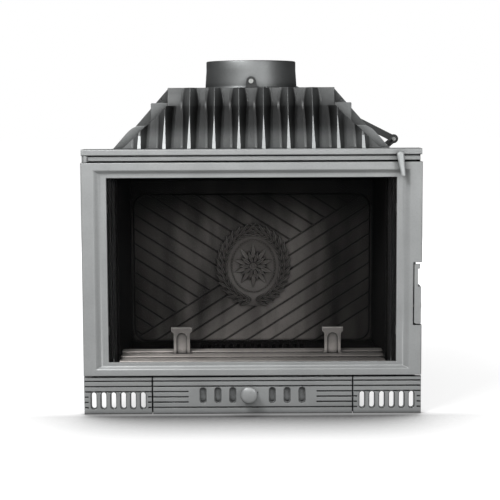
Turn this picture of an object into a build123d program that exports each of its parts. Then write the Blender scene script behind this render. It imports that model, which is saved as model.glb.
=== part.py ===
from build123d import *
from math import atan2, cos, degrees, hypot, pi, radians, sin
import os

# Fireplace insert. Millimetres. X runs across the face, Y into the depth, Z up.
# The model is drawn from the face: y 0 is the front of the door and z 0 the floor.
# When a piece is written it moves forward, so that the origin is the middle of the base.

os.makedirs("parts", exist_ok=True)

# --- The face: door, frame and plinth -------------------------------------
face_half = 350            # half the width of door and plinth
door_low = 81.4            # lower edge of the door
door_high = 523            # upper edge of the door
door_depth = 22            # thickness of the door casting
band_width = 24            # flat outer band of the door
slope_width = 17           # hollow slope inside the band
rim_width = 11             # sunk inner rim next to the glass
rim_drop = 7               # how far the rim lies behind the band
door_edge_radius = 2.5
glass_low_rim = 27.5       # whole height of the lower rail
glass_high_rim = 31.6      # whole height of the upper rail
glass_thickness = 4
glass_lap = 8              # how far the glass goes under the rim
tape_thickness = 2
rope_radius = 4.7
rope_inset = 25            # rope centre line from the side edge of the door
rope_inset_high = 10       # and from its upper and lower edge
rope_corner = 14
rope_sides = 8
seal_gap = 5               # space between door and frame
frame_depth = 18
frame_step = 10            # how far the frame's side lies inside the door's edge
frame_low = 62
frame_opening_low = 97
frame_opening_high = 500
ledge_step = 4             # strip of the frame above the door: how far its end lies inside
ledge_front = 8
ledge_low = 526.5
ledge_high = 535
lip_low = 537.5            # lower edge of the top plate's front lip
clip_thickness = 2
clip_height = 18
clip_reach = 13            # how far a clip lies on the stile
clip_screw_radius = 2.5
clip_head_radius = 4.5
clip_head_height = 2
clip_screw_depth = 8       # how far a screw goes into the door
glass_edge = 0.5           # room around the glass
rim_thickness = 5

# --- Plinth and ash drawer -------------------------------------------------
plinth_low = 0.6
plinth_high = 78
plinth_front = 4
plinth_depth = 12
panel_half = 206.8         # half the width of the drawer's front
panel_gap = 2.4            # gap between drawer front and side grille
groove_pitch = 11.1
groove_width = 3
groove_depth = 3
groove_top = 70            # centre of the highest groove
groove_count = 6
side_slots = 6
side_slot_pitch = 20.5
side_slot_width = 10
side_slot_low = 12
side_slot_high = 46
side_slot_first = 20       # from the outer edge to the first slot's centre
side_tick = 9              # short grooves beside the slots
centre_field_half = 133
centre_slots = 3           # on each side of the knob
centre_slot_first = 41
centre_slot_pitch = 30.9
centre_slot_width = 11
centre_slot_low = 24
centre_slot_high = 55
pad_length = 14            # pads behind the side grilles, which carry them
pad_from_joint = 16        # pad centres, from the inner and the outer end
pad_from_edge = 20
pad_drop = 2               # how far the pads end below the upper edge
knob_x = -7
knob_z = 43
knob_radius = 18
knob_depth = 14
knob_edge = 3              # slant on the knob's rim
knob_back_edge = 5         # the slant behind is wider
knob_foot = 3              # how much thicker the stem is in front of the panel
knob_stand = 11            # stem length in front of the panel
stem_radius = 3
shutter_thickness = 2
shutter_end = 4.25         # how far the shutter goes past its outer windows at full travel
shutter_travel = centre_slot_pitch / 2
shutter_height = 38
guide_short = 58.8         # how far a guide ends inside the panel's end
guide_wall = 4
guide_lip = 3              # how far a guide's lip reaches over the shutter
guide_lip_thickness = 2
slide_clearance = 0.4
pan_wall = 2
pan_room = 5               # between the pan and the housing, at each side
pan_height = 44
pan_length = 300
pan_front_gap = 12

# --- Body -------------------------------------------------------------------
housing_step = 3.8         # how far the ash housing lies inside the drawer's front
housing_wall = 4
floor_low = 80
floor_thickness = 8
body_step = 59             # from the door's edge to the outside of the side walls
wall_thickness = 7
back_wall_front = 392
back_wall_thickness = 8
side_ribs = 7
rib_height = 25
rib_thickness = 6
rib_high = 505
rib_foot = 12              # start of a rib above the floor plate
rib_foot_slope = 30        # height where it has its full depth
rib_head_slope = 25
back_ribs = 9
back_rib_more = 20         # how much higher the back's ribs go
plate_low = 544
plate_high = 550
plate_step = 1             # how far the top plate's side lies inside the door's edge
plate_front = 3
lip_depth = 12
plate_ears_depth = 60      # how deep the wide front part of the top plate is
plate_back = 425
plate_corner = 390         # behind this the plate is narrower, so that the crank can pass
plate_corner_cut = 11      # how much narrower than the body
plate_edge = 1.5
throat_ledge = 14          # how far the top plate reaches in under the hood
fireback_front = 352
fireback_thickness = 10
fireback_room = 1          # between the fireback and each side wall
fireback_high = 470
border_width = 9
border_foot = 5
border_head = 30           # the border is wider at the top
field_groove_step = 3      # how far the grooves end inside the field
border_height = 4
border_radius = 34
plank_angle = 32.5
plank_pitch = 28.5
plank_groove = 3.2
plank_groove_depth = 2.2
plank_count = 9            # along the seam
cross_planks = range(-2, 20)
plank_reach = 900          # longer than the fireback in every direction
plank_seam = 231           # where the two directions of planks meet, measured square to the seam
medallion_x = 3.5
medallion_z = 271
medallion_outer = (93, 102)
medallion_inner = (47.5, 64)
medallion_height = 8
medallion_rim = 6          # width of the raised edge round the dish
medallion_root = 4         # how far the ovals go into the plate
boss_half = 11             # bosses that hold the fireback off the back wall
boss_inset = 50            # their centres from each edge
liner_thickness = 6
sill_steps = 3
sill_step_depth = 30
sill_low = 108
sill_step_rise = 5
hearth_thickness = 8
grate_half = 135
grate_front = 152
grate_back = 306
grate_bars = 15
grate_bar_width = 8
grate_seat = 8             # how far the grate rests on the floor around its hole
grate_rim = 10
grate_gap = 0.5
grate_rise = 2             # how much higher than the hearth plate
guard_places = (-150, 171)
guard_y = 84
guard_width = 34
guard_cap_width = 44
guard_cap = 8              # height of the cap
guard_flare = 4            # how far the flares under the cap and at the foot reach
guard_high = 169
guard_thickness = 12
guard_rim = 5.5            # width of the rim beside the recess
guard_recess = 4
baffle_thickness = 8
baffle_front = 130
baffle_rise = 35           # how much higher its front edge lies

# --- Hood and flue collar ----------------------------------------------------
hood_base = 552
hood_crease = 639
hood_top = 677
hood_foot_half = 266
hood_top_half = 177
hood_front = 48
hood_back = 422
hood_crease_front = 121
hood_top_front = 125
hood_top_back = 335
hood_wall = 7
hood_foot_width = 4
fin_pitch = 51.4
fin_pairs = 5
fin_front = 24             # front edge of a fin at its foot
fin_top_front = 106        # front edge of a fin at the top
fin_edge_foot = 8          # width of a fin's front edge at its foot
fin_edge_top = 2.4
fin_bend = 618             # height where the front edge reaches its least width
fin_draft = 0.4            # how much a fin widens on each side, per millimetre of depth
fin_root_depth = 44        # deep enough to end inside the hood's wall at every height
side_fin_first = 86
side_fin_second = 127
side_fin_pitch = 50
side_fin_count = 4
side_fin_thickness = 7
side_fin_foot = 290
side_fin_top = 178
side_fin_first_high = 597
side_fin_second_half = 213
side_fin_second_high = 645
side_fin_hole = (195, 652)
side_fin_hole_radius = 4
fin_sunk = 4               # how far a side fin goes into the hood's wall at its foot
fin_sunk_top = 2           # and at its top
collar_y = 235
collar_radius = 100
collar_top_radius = 97.7
collar_rise = 58           # height of the collar above the hood
collar_straight = 20       # straight length at the collar's top
collar_wall = 8
lug_half = 10
lug_depth = 10
lug_rise = 4               # lower end of the lug above the hood
back_lug_length = 12
lug_root = 2               # how far the lugs go into the collar's wall

# --- Damper ------------------------------------------------------------------
shaft_step = 37            # from the frame's side edge to the control shaft
shaft_z = 537
shaft_radius = 5
running_fit = 0.06
flap_rise = 13.6           # height of the flap's axis above the hood
crank_reach = (29.7, 25)   # from the shaft to the pin, across and up
crank_width = 15
crank_thickness = 6
link_width = 15
link_thickness = 5
crank_room = 0.7           # between the back wall and the cranks
pin_radius = 4
pin_head_rim = 3
pin_head_height = 2.5
link_eye_wall = 3
open_pivot_clearance = 0.4
flap_radius = 86
flap_thickness = 5
flap_cut = 62              # the disc is cut off here, so that it never shuts the flue fully
hub_wall = 4
hub_short = 6              # how far the hub ends inside the disc's edge
shaft_end = 1.5            # how far the flap's shaft stands out of the front lug
lever_head_radius = 7
lever_reach = (6, -40)     # from the shaft to the middle of the lever's tip
lever_tip_radius = 4
lever_back = -7
lever_thickness = 11
lever_edge = 2
lever_wall = 1             # iron left in front of the shaft's end
bracket_y = 372
bracket_thickness = 10
bracket_wall = 5
bracket_foot = 4           # thickness of the foot on the side wall
bracket_foot_drop = 20     # how far the foot goes down

# --- Hinge and latch -----------------------------------------------------------
hinge_step = 9             # from the door's edge to the hinge axis
hinge_pin_radius = 4
hinge_lug_radius = 7
hinge_lug_high = 537
hinge_strap_low = 78.2
hinge_strap_thickness = 2.8
hinge_strap_half = 8
hinge_clearance = 0.6      # between the door and the lug above it
hinge_bar = 8              # from the frame's side to the end of the bar that carries the lug
pin_in_door = 24
notch_width = 18
notch_low = 186
notch_high = 316
latch_strip_step = 16      # from the door's edge to the inner side of the latch's strip
latch_strip_width = 7.5
latch_plate_width = 6.4
latch_low = 190
latch_high = 303
latch_head = 9             # height of the wider head above the strip
latch_pivot_y = 12
latch_pivot_z = 225
latch_pivot_radius = 3.5
latch_turn = 10            # degrees from released to hooked
latch_head_step = 4.5      # how much wider the head is than the strip
pivot_grip = 16            # how far the pivot pin goes into the door
pivot_boss_wall = 4
pivot_head = 1.5
pivot_head_rim = 2.5
lever_front = -2           # front of the latch's strip
strip_depth = 10
claw_foot_depth = 6        # from the pivot back to the claw's lower end
claw_waist_depth = 10      # and beside the pivot
claw_arm_high = 266
claw_tip_depth = 5
claw_corner = (6, 5)       # slant on the claw's upper corner, in depth and height
claw_clearance = 1.2       # around the keeper
keeper_radius = 4
keeper_y = 36
keeper_z = 247
keeper_shank = 12          # how far the keeper goes into the frame
keeper_end_room = 1.6      # how far it ends beyond the claw

# --- Tie rods ------------------------------------------------------------------
tie_rod_radius = 4
tie_rod_room = 2           # between a rod and the ribs of the side wall
tie_rod_heights = (128, 468)
tie_rod_grip = 8           # how far a rod goes into the frame
tie_rod_end = 4            # how far a rod stands out of its nut
tie_nut_radius = 7
tie_nut_height = 6.5
lug_size = 24

gap = 0.3                  # between pieces of different moving bodies
through = 2                # how far a cut runs past the surface it opens
fastener_sides = 8
hexagon = 6

# Values worked out from the sizes above.
frame_front = door_depth + seal_gap
frame_back = frame_front + frame_depth
frame_half = face_half - frame_step
body_half = face_half - body_step
ledge_half = face_half - ledge_step
plate_half = face_half - plate_step
housing_half = panel_half - housing_step
pan_half = housing_half - housing_wall - pan_room
shaft_x = frame_half - shaft_step
lever_tip = (shaft_x + lever_reach[0], shaft_z + lever_reach[1])
hinge_x = hinge_step - face_half
hinge_y = door_depth / 2
notch_half_inner = face_half - notch_width
latch_strip = (face_half - latch_strip_step, face_half - latch_strip_step + latch_strip_width)
latch_plate_outer = latch_strip[1] + latch_plate_width
origin_depth = (frame_back + back_wall_front) / 2
plinth_back = plinth_front + plinth_depth
glass_half = face_half - band_width - slope_width - rim_width
glass_low = door_low + glass_low_rim
glass_high = door_high - glass_high_rim
side_inner = body_half - wall_thickness
fireback_half = side_inner - fireback_room
floor_high = floor_low + floor_thickness
back_wall_back = back_wall_front + back_wall_thickness
crank_front = back_wall_back + crank_room
crank_back = crank_front + crank_thickness
link_front = crank_back + gap
link_back = link_front + link_thickness
collar_high = hood_top + collar_rise
lug_low = hood_top + lug_rise
flap_z = hood_top + flap_rise


def block(x, y, z):
    """A box between the two ends given for each axis."""
    middle = [(low + high) / 2 for low, high in (x, y, z)]
    return Pos(*middle) * Box(*[abs(high - low) for low, high in (x, y, z)])


def rod(start, radius, length, axis):
    """A cylinder from a start point along an axis."""
    return extrude(Plane(start, z_dir=axis) * Circle(radius), length)


def fastener(start, radius, length, axis):
    """A screw's shank or its hole, with few sides; the thread isn't modelled."""
    return extrude(Plane(start, z_dir=axis) * RegularPolygon(radius, fastener_sides), length)


def save(name, shape):
    """Writes one piece with the origin in the middle of the base."""
    solids = [solid.translate((0, -origin_depth, 0)) for solid in shape.solids()]
    piece = solids[0] if len(solids) == 1 else Compound(children=solids)
    export_step(piece, f"parts/{name}.step")


# --- Door ----------------------------------------------------------------------

def rectangle_at(depth, half, low, high):
    """A rectangle across the face, symmetrical in X, at a depth."""
    plane = Plane((0, depth, (low + high) / 2), x_dir=(1, 0, 0), z_dir=(0, -1, 0))
    return plane * Rectangle(2 * half, high - low)


def slope_cutter():
    """The hollow that leads from the door's band down to its rim."""
    band_low = door_low + glass_low_rim * band_width / (face_half - glass_half)
    band_high = door_high - glass_high_rim * band_width / (face_half - glass_half)
    steps = 5
    sections = [rectangle_at(-1, face_half - band_width, band_low, band_high)]
    for step in range(steps + 1):
        share = step / steps
        depth = rim_drop * (1 - cos(share * pi)) / 2
        inward = slope_width / (slope_width + rim_width) * share
        half = face_half - band_width - inward * (slope_width + rim_width)
        low = band_low + inward * (glass_low - band_low)
        high = band_high - inward * (band_high - glass_high)
        sections.append(rectangle_at(depth, half, low, high))
    return loft(sections, ruled=True)


def rope_outline(outset):
    """The seal's line on the back of the door, moved outwards by an outset."""
    middle = (door_low + door_high) / 2
    width = 2 * (face_half - rope_inset + outset)
    height = door_high - door_low - 2 * (rope_inset_high - outset)
    plane = Plane((0, door_depth, middle), x_dir=(1, 0, 0), z_dir=(0, -1, 0))
    return plane * RectangleRounded(width, height, rope_corner + outset)


def rope_groove():
    """The channel that the rope lies in, half as deep as the rope is thick."""
    ring = rope_outline(rope_radius) - rope_outline(-rope_radius)
    return extrude(ring, rope_radius)


def rope_ring():
    """The sealing rope, with a few flat sides, pressed into its channel."""
    path = rope_outline(0).wire()
    start = Plane(path @ 0, x_dir=(0, 1, 0), z_dir=path % 0)
    half_side = 180 / rope_sides
    corner_radius = rope_radius / cos(radians(half_side))
    return sweep(start * RegularPolygon(corner_radius, rope_sides, rotation=half_side), path)


def clip_places():
    """Centres of the clips that hold the glass, on both stiles."""
    middle = (glass_low + glass_high) / 2
    reach = (glass_high - glass_low) / 3
    return [(side, z) for side in (-1, 1) for z in (middle - reach, middle + reach)]


pocket_half = glass_half + glass_lap
pocket_low = glass_low - glass_lap
pocket_high = glass_high + glass_lap
rim_back = rim_drop + rim_thickness
glass_front = rim_back + tape_thickness
glass_back = glass_front + glass_thickness
pivot_start = notch_half_inner - pivot_grip

door = block((-face_half, face_half), (0, door_depth), (door_low, door_high))
door = fillet(door.faces().sort_by(Axis.Y)[0].edges(), door_edge_radius)
door -= slope_cutter()
door -= block((-glass_half, glass_half), (-1, door_depth), (glass_low, glass_high))
door -= block((-pocket_half, pocket_half), (rim_back, door_depth + 1), (pocket_low, pocket_high))
door -= block((notch_half_inner, face_half + 1), (-1, door_depth + 1), (notch_low, notch_high))
door -= rope_groove()
for pin_end in (door_low, door_high - pin_in_door - 1):
    door -= rod((hinge_x, hinge_y, pin_end), hinge_pin_radius + running_fit, pin_in_door + 1, (0, 0, 1))
door -= rod((pivot_start, latch_pivot_y, latch_pivot_z), latch_pivot_radius, pivot_grip + through, (1, 0, 0))
for side, z in clip_places():
    screw_x = side * (pocket_half + clip_reach / 2)
    door -= fastener((screw_x, door_depth - clip_screw_depth, z), clip_screw_radius,
                     clip_screw_depth + through, (0, 1, 0))
save("door_frame", door)

glass = block(
    (glass_edge - pocket_half, pocket_half - glass_edge),
    (glass_front, glass_back),
    (pocket_low + glass_edge, pocket_high - glass_edge),
)
save("door_glass", glass)

tape = block((-pocket_half, pocket_half), (rim_back, glass_front), (pocket_low, pocket_high))
tape -= block((-glass_half, glass_half), (0, door_depth), (glass_low, glass_high))
save("glass_tape", tape)

save("door_rope", rope_ring())

clips = []
screws = []
for side, z in clip_places():
    high = (z - clip_height / 2, z + clip_height / 2)
    foot = (glass_half, pocket_half)
    leaf = (glass_half, pocket_half + clip_reach)
    clip = block(foot, (glass_back, door_depth + clip_thickness), high)
    clip += block(leaf, (door_depth, door_depth + clip_thickness), high)
    screw_x = pocket_half + clip_reach / 2
    clip -= fastener((screw_x, door_depth - through, z), clip_screw_radius,
                     clip_thickness + 2 * through, (0, 1, 0))
    screw = fastener((screw_x, door_depth - clip_screw_depth, z), clip_screw_radius,
                     clip_screw_depth + clip_thickness, (0, 1, 0))
    head_plane = Plane((screw_x, door_depth + clip_thickness, z), z_dir=(0, 1, 0))
    screw += extrude(head_plane * RegularPolygon(clip_head_radius, hexagon), clip_head_height)
    clips.append(clip if side > 0 else mirror(clip, Plane.YZ))
    screws.append(screw if side > 0 else mirror(screw, Plane.YZ))
save("glass_clips", Compound(children=clips))
save("clip_screws", Compound(children=screws))


# --- Latch -----------------------------------------------------------------------

keeper_room = keeper_radius + claw_clearance
pivot_boss_radius = latch_pivot_radius + pivot_boss_wall
strip_y = (lever_front, lever_front + strip_depth)
claw_tip_y = keeper_y + keeper_room + claw_tip_depth
claw_shoulder_z = keeper_z - 2 * keeper_room


def keeper_seen_by_claw(turn):
    """Where the keeper lies, as Y and Z, for someone who moves with the claw."""
    y = keeper_y - latch_pivot_y
    z = keeper_z - latch_pivot_z
    angle = radians(turn)
    return (latch_pivot_y + y * cos(angle) - z * sin(angle),
            latch_pivot_z + y * sin(angle) + z * cos(angle))


hooked_y, hooked_z = keeper_seen_by_claw(latch_turn)
claw_outline = Polyline(
    (lever_front, latch_low),
    (latch_pivot_y + claw_foot_depth, latch_low),
    (latch_pivot_y + claw_waist_depth, latch_pivot_z),
    (hooked_y - keeper_room, claw_shoulder_z),
    (hooked_y - keeper_room, hooked_z + keeper_room),
    (keeper_y, hooked_z + keeper_room),
    (keeper_y + keeper_room, keeper_z + keeper_room),
    (claw_tip_y, keeper_z + keeper_room),
    (claw_tip_y, claw_arm_high - claw_corner[1]),
    (claw_tip_y - claw_corner[0], claw_arm_high),
    (lever_front, claw_arm_high),
    close=True,
)
claw_plane = Plane((latch_strip[1], 0, 0), x_dir=(0, 1, 0), z_dir=(1, 0, 0))
latch = extrude(claw_plane * make_face(claw_outline), latch_plate_width)
latch += block(latch_strip, strip_y, (latch_low, latch_high))
latch += block((latch_strip[0], latch_strip[1] + latch_head_step), strip_y,
               (latch_high, latch_high + latch_head))
latch += rod((latch_strip[0], latch_pivot_y, latch_pivot_z), pivot_boss_radius, latch_strip_width, (1, 0, 0))
latch -= rod((latch_strip[0] - 1, latch_pivot_y, latch_pivot_z), latch_pivot_radius + running_fit,
             latch_strip_width + latch_plate_width + through, (1, 0, 0))
save("latch_lever", latch)

pivot_pin = rod((pivot_start, latch_pivot_y, latch_pivot_z), latch_pivot_radius,
                latch_plate_outer + gap - pivot_start, (1, 0, 0))
pivot_pin += rod((latch_plate_outer + gap, latch_pivot_y, latch_pivot_z), latch_pivot_radius + pivot_head_rim,
                 pivot_head, (1, 0, 0))
save("latch_pivot_pin", pivot_pin)

keeper_end = latch_plate_outer + keeper_end_room
keeper_start = frame_half - keeper_shank
keeper = rod((keeper_start, keeper_y, keeper_z), keeper_radius, keeper_end - keeper_start, (1, 0, 0))
save("latch_keeper", keeper)


# --- Front frame, hinge and top plate -----------------------------------------------

tie_rod_x = body_half + rib_height + tie_rod_radius + tie_rod_room
hinge_lug_low = door_high + hinge_clearance
shaft_hole = rod((shaft_x, 0, shaft_z), shaft_radius + running_fit, frame_back + through, (0, 1, 0))

frame = block((-frame_half, frame_half), (frame_front, frame_back), (frame_low, plate_low))
frame -= block(
    (-body_half, body_half),
    (0, frame_back + 1),
    (frame_opening_low, frame_opening_high),
)
frame += block((hinge_x, ledge_half), (ledge_front, frame_front), (ledge_low, ledge_high))
frame += rod((hinge_x, hinge_y, hinge_lug_low), hinge_lug_radius, hinge_lug_high - hinge_lug_low, (0, 0, 1))
frame += block((hinge_x - hinge_lug_radius, hinge_x + hinge_lug_radius), (hinge_y, frame_front),
               (hinge_lug_low, hinge_lug_high))
frame += block((-frame_half - hinge_bar, -frame_half), (frame_front, frame_back),
               (hinge_lug_low, hinge_lug_high))
frame -= rod((hinge_x, hinge_y, door_high), hinge_pin_radius, hinge_lug_high - door_high + through, (0, 0, 1))
frame -= shaft_hole
frame -= rod((keeper_start, keeper_y, keeper_z), keeper_radius, keeper_shank + through, (1, 0, 0))
for z in tie_rod_heights:
    for side in (-1, 1):
        frame -= fastener((side * tie_rod_x, frame_back - tie_rod_grip, z), tie_rod_radius,
                          tie_rod_grip + through, (0, 1, 0))
save("front_frame", frame)

strap = block((hinge_x - hinge_strap_half, hinge_x + hinge_strap_half), (plinth_front, frame_front),
              (hinge_strap_low, hinge_strap_low + hinge_strap_thickness))
strap -= rod((hinge_x, hinge_y, hinge_strap_low - 1), hinge_pin_radius,
             hinge_strap_thickness + through, (0, 0, 1))
save("hinge_strap", strap)

lower_pin = rod((hinge_x, hinge_y, hinge_strap_low), hinge_pin_radius,
                door_low + pin_in_door - hinge_strap_low, (0, 0, 1))
upper_pin = rod((hinge_x, hinge_y, door_high - pin_in_door), hinge_pin_radius,
                hinge_lug_high - door_high + pin_in_door, (0, 0, 1))
save("hinge_pins", Compound(children=[lower_pin, upper_pin]))

throat_half = hood_foot_half - throat_ledge
throat_front = hood_front + throat_ledge
throat_back = hood_back - throat_ledge
plate_corner_half = body_half - plate_corner_cut

plate = block((-plate_half, plate_half), (plate_front, plate_ears_depth), (plate_low, plate_high))
plate += block((-body_half, body_half), (plate_front, plate_back), (plate_low, plate_high))
plate += block((-plate_half, plate_half), (plate_front, plate_front + lip_depth), (lip_low, plate_high))
plate = chamfer(plate.edges().filter_by(Axis.X).group_by(Axis.Y)[0], plate_edge)
plate -= block((-throat_half, throat_half), (throat_front, throat_back), (plate_low - 1, plate_high + 1))
plate -= shaft_hole
for side in (-1, 1):
    plate -= block((side * plate_corner_half, side * plate_half), (plate_corner, plate_back + 1),
                   (plate_low - 1, plate_high + 1))
save("top_plate", plate)


# --- Plinth ------------------------------------------------------------------------

def groove(x, z):
    """One horizontal groove in the front of the plinth."""
    return block(x, (plinth_front - 1, plinth_front + groove_depth),
                 (z - groove_width / 2, z + groove_width / 2))


def slot(x, width, low, high):
    """One upright slot through the plinth with rounded ends."""
    plane = Plane((x, plinth_back + 1, (low + high) / 2), x_dir=(1, 0, 0), z_dir=(0, -1, 0))
    return extrude(plane * SlotOverall(high - low, width, rotation=90), plinth_depth + 2)


groove_heights = [groove_top - groove_pitch * step for step in range(groove_count)]
grille_inner = panel_half + panel_gap

grille = block((grille_inner, face_half), (plinth_front, plinth_back), (plinth_low, plinth_high))
grille = chamfer(grille.faces().sort_by(Axis.Y)[0].edges(), 1)
last_slot = face_half - side_slot_first - side_slot_pitch * (side_slots - 1)
for step, z in enumerate(groove_heights):
    if z > side_slot_high:
        grille -= groove((grille_inner - 1, face_half + 1), z)
    else:
        grille -= groove((grille_inner - 1, last_slot - side_slot_pitch / 2), z)
        grille -= groove((face_half - side_tick, face_half + 1), z)
for step in range(side_slots):
    x = face_half - side_slot_first - side_slot_pitch * step
    grille -= slot(x, side_slot_width, side_slot_low, side_slot_high)
for x in (grille_inner + pad_from_joint, face_half - pad_from_edge):
    grille += block((x - pad_length / 2, x + pad_length / 2), (plinth_back, frame_front),
                    (frame_low, plinth_high - pad_drop))
save("plinth_grille_right", grille)
save("plinth_grille_left", mirror(grille, Plane.YZ))

shutter_middle = (centre_slot_low + centre_slot_high) / 2
stem_slot = stem_radius + slide_clearance
panel = block((-panel_half, panel_half), (plinth_front, plinth_back), (plinth_low, plinth_high))
panel = chamfer(panel.faces().sort_by(Axis.Y)[0].edges(), 1)
for step, z in enumerate(groove_heights):
    if step in (0, 1, len(groove_heights) - 1):
        panel -= groove((-panel_half - 1, panel_half + 1), z)
    else:
        panel -= groove((-panel_half - 1, -centre_field_half), z)
        panel -= groove((centre_field_half, panel_half + 1), z)
centre_slot_places = [side * (centre_slot_first + centre_slot_pitch * step)
                      for side in (-1, 1) for step in range(centre_slots)]
for x in centre_slot_places:
    panel -= slot(x, centre_slot_width, centre_slot_low, centre_slot_high)
panel -= block((knob_x - stem_slot, knob_x + shutter_travel + stem_slot), (0, plinth_back + 1),
               (knob_z - stem_slot, knob_z + stem_slot))
guide_inner = shutter_height / 2 + slide_clearance
guide_outer = guide_inner + guide_wall
guide_depth = shutter_thickness + 2 * gap
guide_half = panel_half - guide_short
for side in (-1, 1):
    web = (shutter_middle + side * guide_inner, shutter_middle + side * guide_outer)
    lip = (shutter_middle + side * (guide_inner - guide_lip), shutter_middle + side * guide_outer)
    guide = block((-guide_half, guide_half), (plinth_back, plinth_back + guide_depth), web)
    guide += block((-guide_half, guide_half),
                   (plinth_back + guide_depth, plinth_back + guide_depth + guide_lip_thickness), lip)
    panel += guide
save("drawer_front", panel)

shutter_y = (plinth_back + gap, plinth_back + gap + shutter_thickness)
shutter_half = centre_slot_places[-1] + centre_slot_width / 2 + shutter_travel + shutter_end
shutter = block((-shutter_half, shutter_half), shutter_y,
                (shutter_middle - shutter_height / 2, shutter_middle + shutter_height / 2))
for x in centre_slot_places:
    window_x = x - shutter_travel
    shutter -= block((window_x - centre_slot_width / 2, window_x + centre_slot_width / 2),
                     (plinth_back, shutter_y[1] + through), (centre_slot_low, centre_slot_high))
shutter -= rod((knob_x, plinth_back, knob_z), stem_radius, shutter_y[1] + through - plinth_back, (0, 1, 0))
save("air_shutter", shutter)

knob_front = plinth_front - knob_stand - knob_depth
knob_back = plinth_front - knob_stand
knob_profile = Polyline(
    (0, knob_front),
    (knob_radius - knob_edge, knob_front),
    (knob_radius, knob_front + knob_edge),
    (knob_radius, knob_back - knob_edge),
    (knob_radius - knob_back_edge, knob_back),
    (stem_radius + knob_foot, knob_back),
    (stem_radius + knob_foot, plinth_front - gap),
    (stem_radius, plinth_front - gap),
    (stem_radius, shutter_y[1]),
    (0, shutter_y[1]),
    close=True,
)
knob = revolve(Pos(knob_x, 0, knob_z) * make_face(knob_profile), Axis((knob_x, 0, knob_z), (0, 1, 0)))
save("air_knob", knob)

pan_low = housing_wall + gap
pan_high = pan_low + pan_height
pan_front = plinth_back + pan_front_gap
pan_back = pan_front + pan_length
pan_inside = (pan_wall - pan_half, pan_half - pan_wall)
pan = block((-pan_half, pan_half), (plinth_back, pan_back), (pan_low, pan_high))
pan -= block(pan_inside, (pan_front + pan_wall, pan_back - pan_wall), (pan_low + pan_wall, pan_high + 1))
pan -= block(pan_inside, (plinth_back - 1, pan_front), (pan_low - 1, pan_high + 1))
save("ash_pan", pan)


# --- Body ----------------------------------------------------------------------------

housing = block((-housing_half, housing_half), (frame_back, back_wall_front), (0, floor_low))
housing -= block(
    (housing_wall - housing_half, housing_half - housing_wall),
    (frame_back - 1, back_wall_front - housing_wall),
    (housing_wall, floor_low + 1),
)
save("ash_housing", housing)

floor_plate = block((-body_half, body_half), (frame_back, back_wall_back), (floor_low, floor_high))
floor_plate -= block(
    (grate_seat - grate_half, grate_half - grate_seat),
    (grate_front + grate_seat, grate_back - grate_seat),
    (floor_low - 1, floor_high + 1),
)
save("floor_plate", floor_plate)

wall = block((side_inner, body_half), (frame_back, back_wall_back), (floor_high, plate_low))
rib_outline = Polyline(
    (body_half - 1, floor_high + rib_foot),
    (body_half, floor_high + rib_foot),
    (body_half + rib_height, floor_high + rib_foot_slope),
    (body_half + rib_height, rib_high - rib_head_slope),
    (body_half, rib_high),
    (body_half - 1, rib_high),
    close=True,
)
rib_space = (back_wall_front - frame_back) / (side_ribs + 1)
for number in range(side_ribs):
    y = frame_back + rib_space * (number + 1) + rib_thickness / 2
    plane = Plane((0, y, 0), x_dir=(1, 0, 0), z_dir=(0, -1, 0))
    wall += extrude(plane * make_face(rib_outline), rib_thickness)
save("side_wall_right", wall)
save("side_wall_left", mirror(wall, Plane.YZ))

back = block((-side_inner, side_inner), (back_wall_front, back_wall_back), (floor_high, plate_low))
back_rib_space = 2 * side_inner / (back_ribs + 1)
for number in range(back_ribs):
    x = back_rib_space * (number + 1) - side_inner
    back += block((x - rib_thickness / 2, x + rib_thickness / 2),
                  (back_wall_back - 1, plate_back), (floor_high + rib_foot, rib_high + back_rib_more))
save("back_wall", back)

tie_rod_length = back_wall_back + tie_nut_height + tie_rod_end - frame_back + tie_rod_grip
lugs = []
rods = []
nuts = []
for side in (-1, 1):
    for z in tie_rod_heights:
        middle = side * tie_rod_x
        lug = block((side * body_half, side * (tie_rod_x + lug_size / 2)), (back_wall_front, back_wall_back),
                    (z - lug_size / 2, z + lug_size / 2))
        lug -= fastener((middle, back_wall_front - through, z), tie_rod_radius,
                        back_wall_thickness + 2 * through, (0, 1, 0))
        lugs.append(lug)
        rods.append(fastener((middle, frame_back - tie_rod_grip, z), tie_rod_radius, tie_rod_length,
                             (0, 1, 0)))
        plane = Plane((middle, back_wall_back, z), z_dir=(0, 1, 0))
        nut = extrude(plane * RegularPolygon(tie_nut_radius, hexagon), tie_nut_height)
        nut -= fastener((middle, back_wall_back - through, z), tie_rod_radius, tie_nut_height + 2 * through,
                        (0, 1, 0))
        nuts.append(nut)
save("tie_lugs", Compound(children=lugs))
save("tie_rods", Compound(children=rods))
save("tie_nuts", Compound(children=nuts))


# --- Inside the firebox -----------------------------------------------------------------

def plank_grooves():
    """The grooves between the iron planks: two directions that meet along a sloping seam."""
    bottom = fireback_front + plank_groove_depth
    along = radians(plank_angle)
    seam_plane = Plane((0, bottom, 0), x_dir=(cos(along), 0, sin(along)), z_dir=(0, -1, 0))
    cross_plane = Plane((0, bottom, 0), x_dir=(cos(along), 0, -sin(along)), z_dir=(0, -1, 0))
    depth = plank_groove_depth + border_height + through
    strip = Rectangle(2 * plank_reach, plank_groove)
    half_plane = Rectangle(2 * plank_reach, plank_reach)
    below_seam = extrude(seam_plane * Pos(0, plank_seam - plank_reach / 2) * half_plane, depth)
    along_seam = []
    for number in range(plank_count):
        distance = plank_seam - plank_pitch * number
        along_seam.append(extrude(seam_plane * Pos(0, distance) * strip, depth))
    crossing = []
    for number in cross_planks:
        distance = plank_pitch * (number + 0.5)
        crossing.append(extrude(cross_plane * Pos(0, distance) * strip, depth))
    return along_seam, Compound(children=crossing) - below_seam


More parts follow.
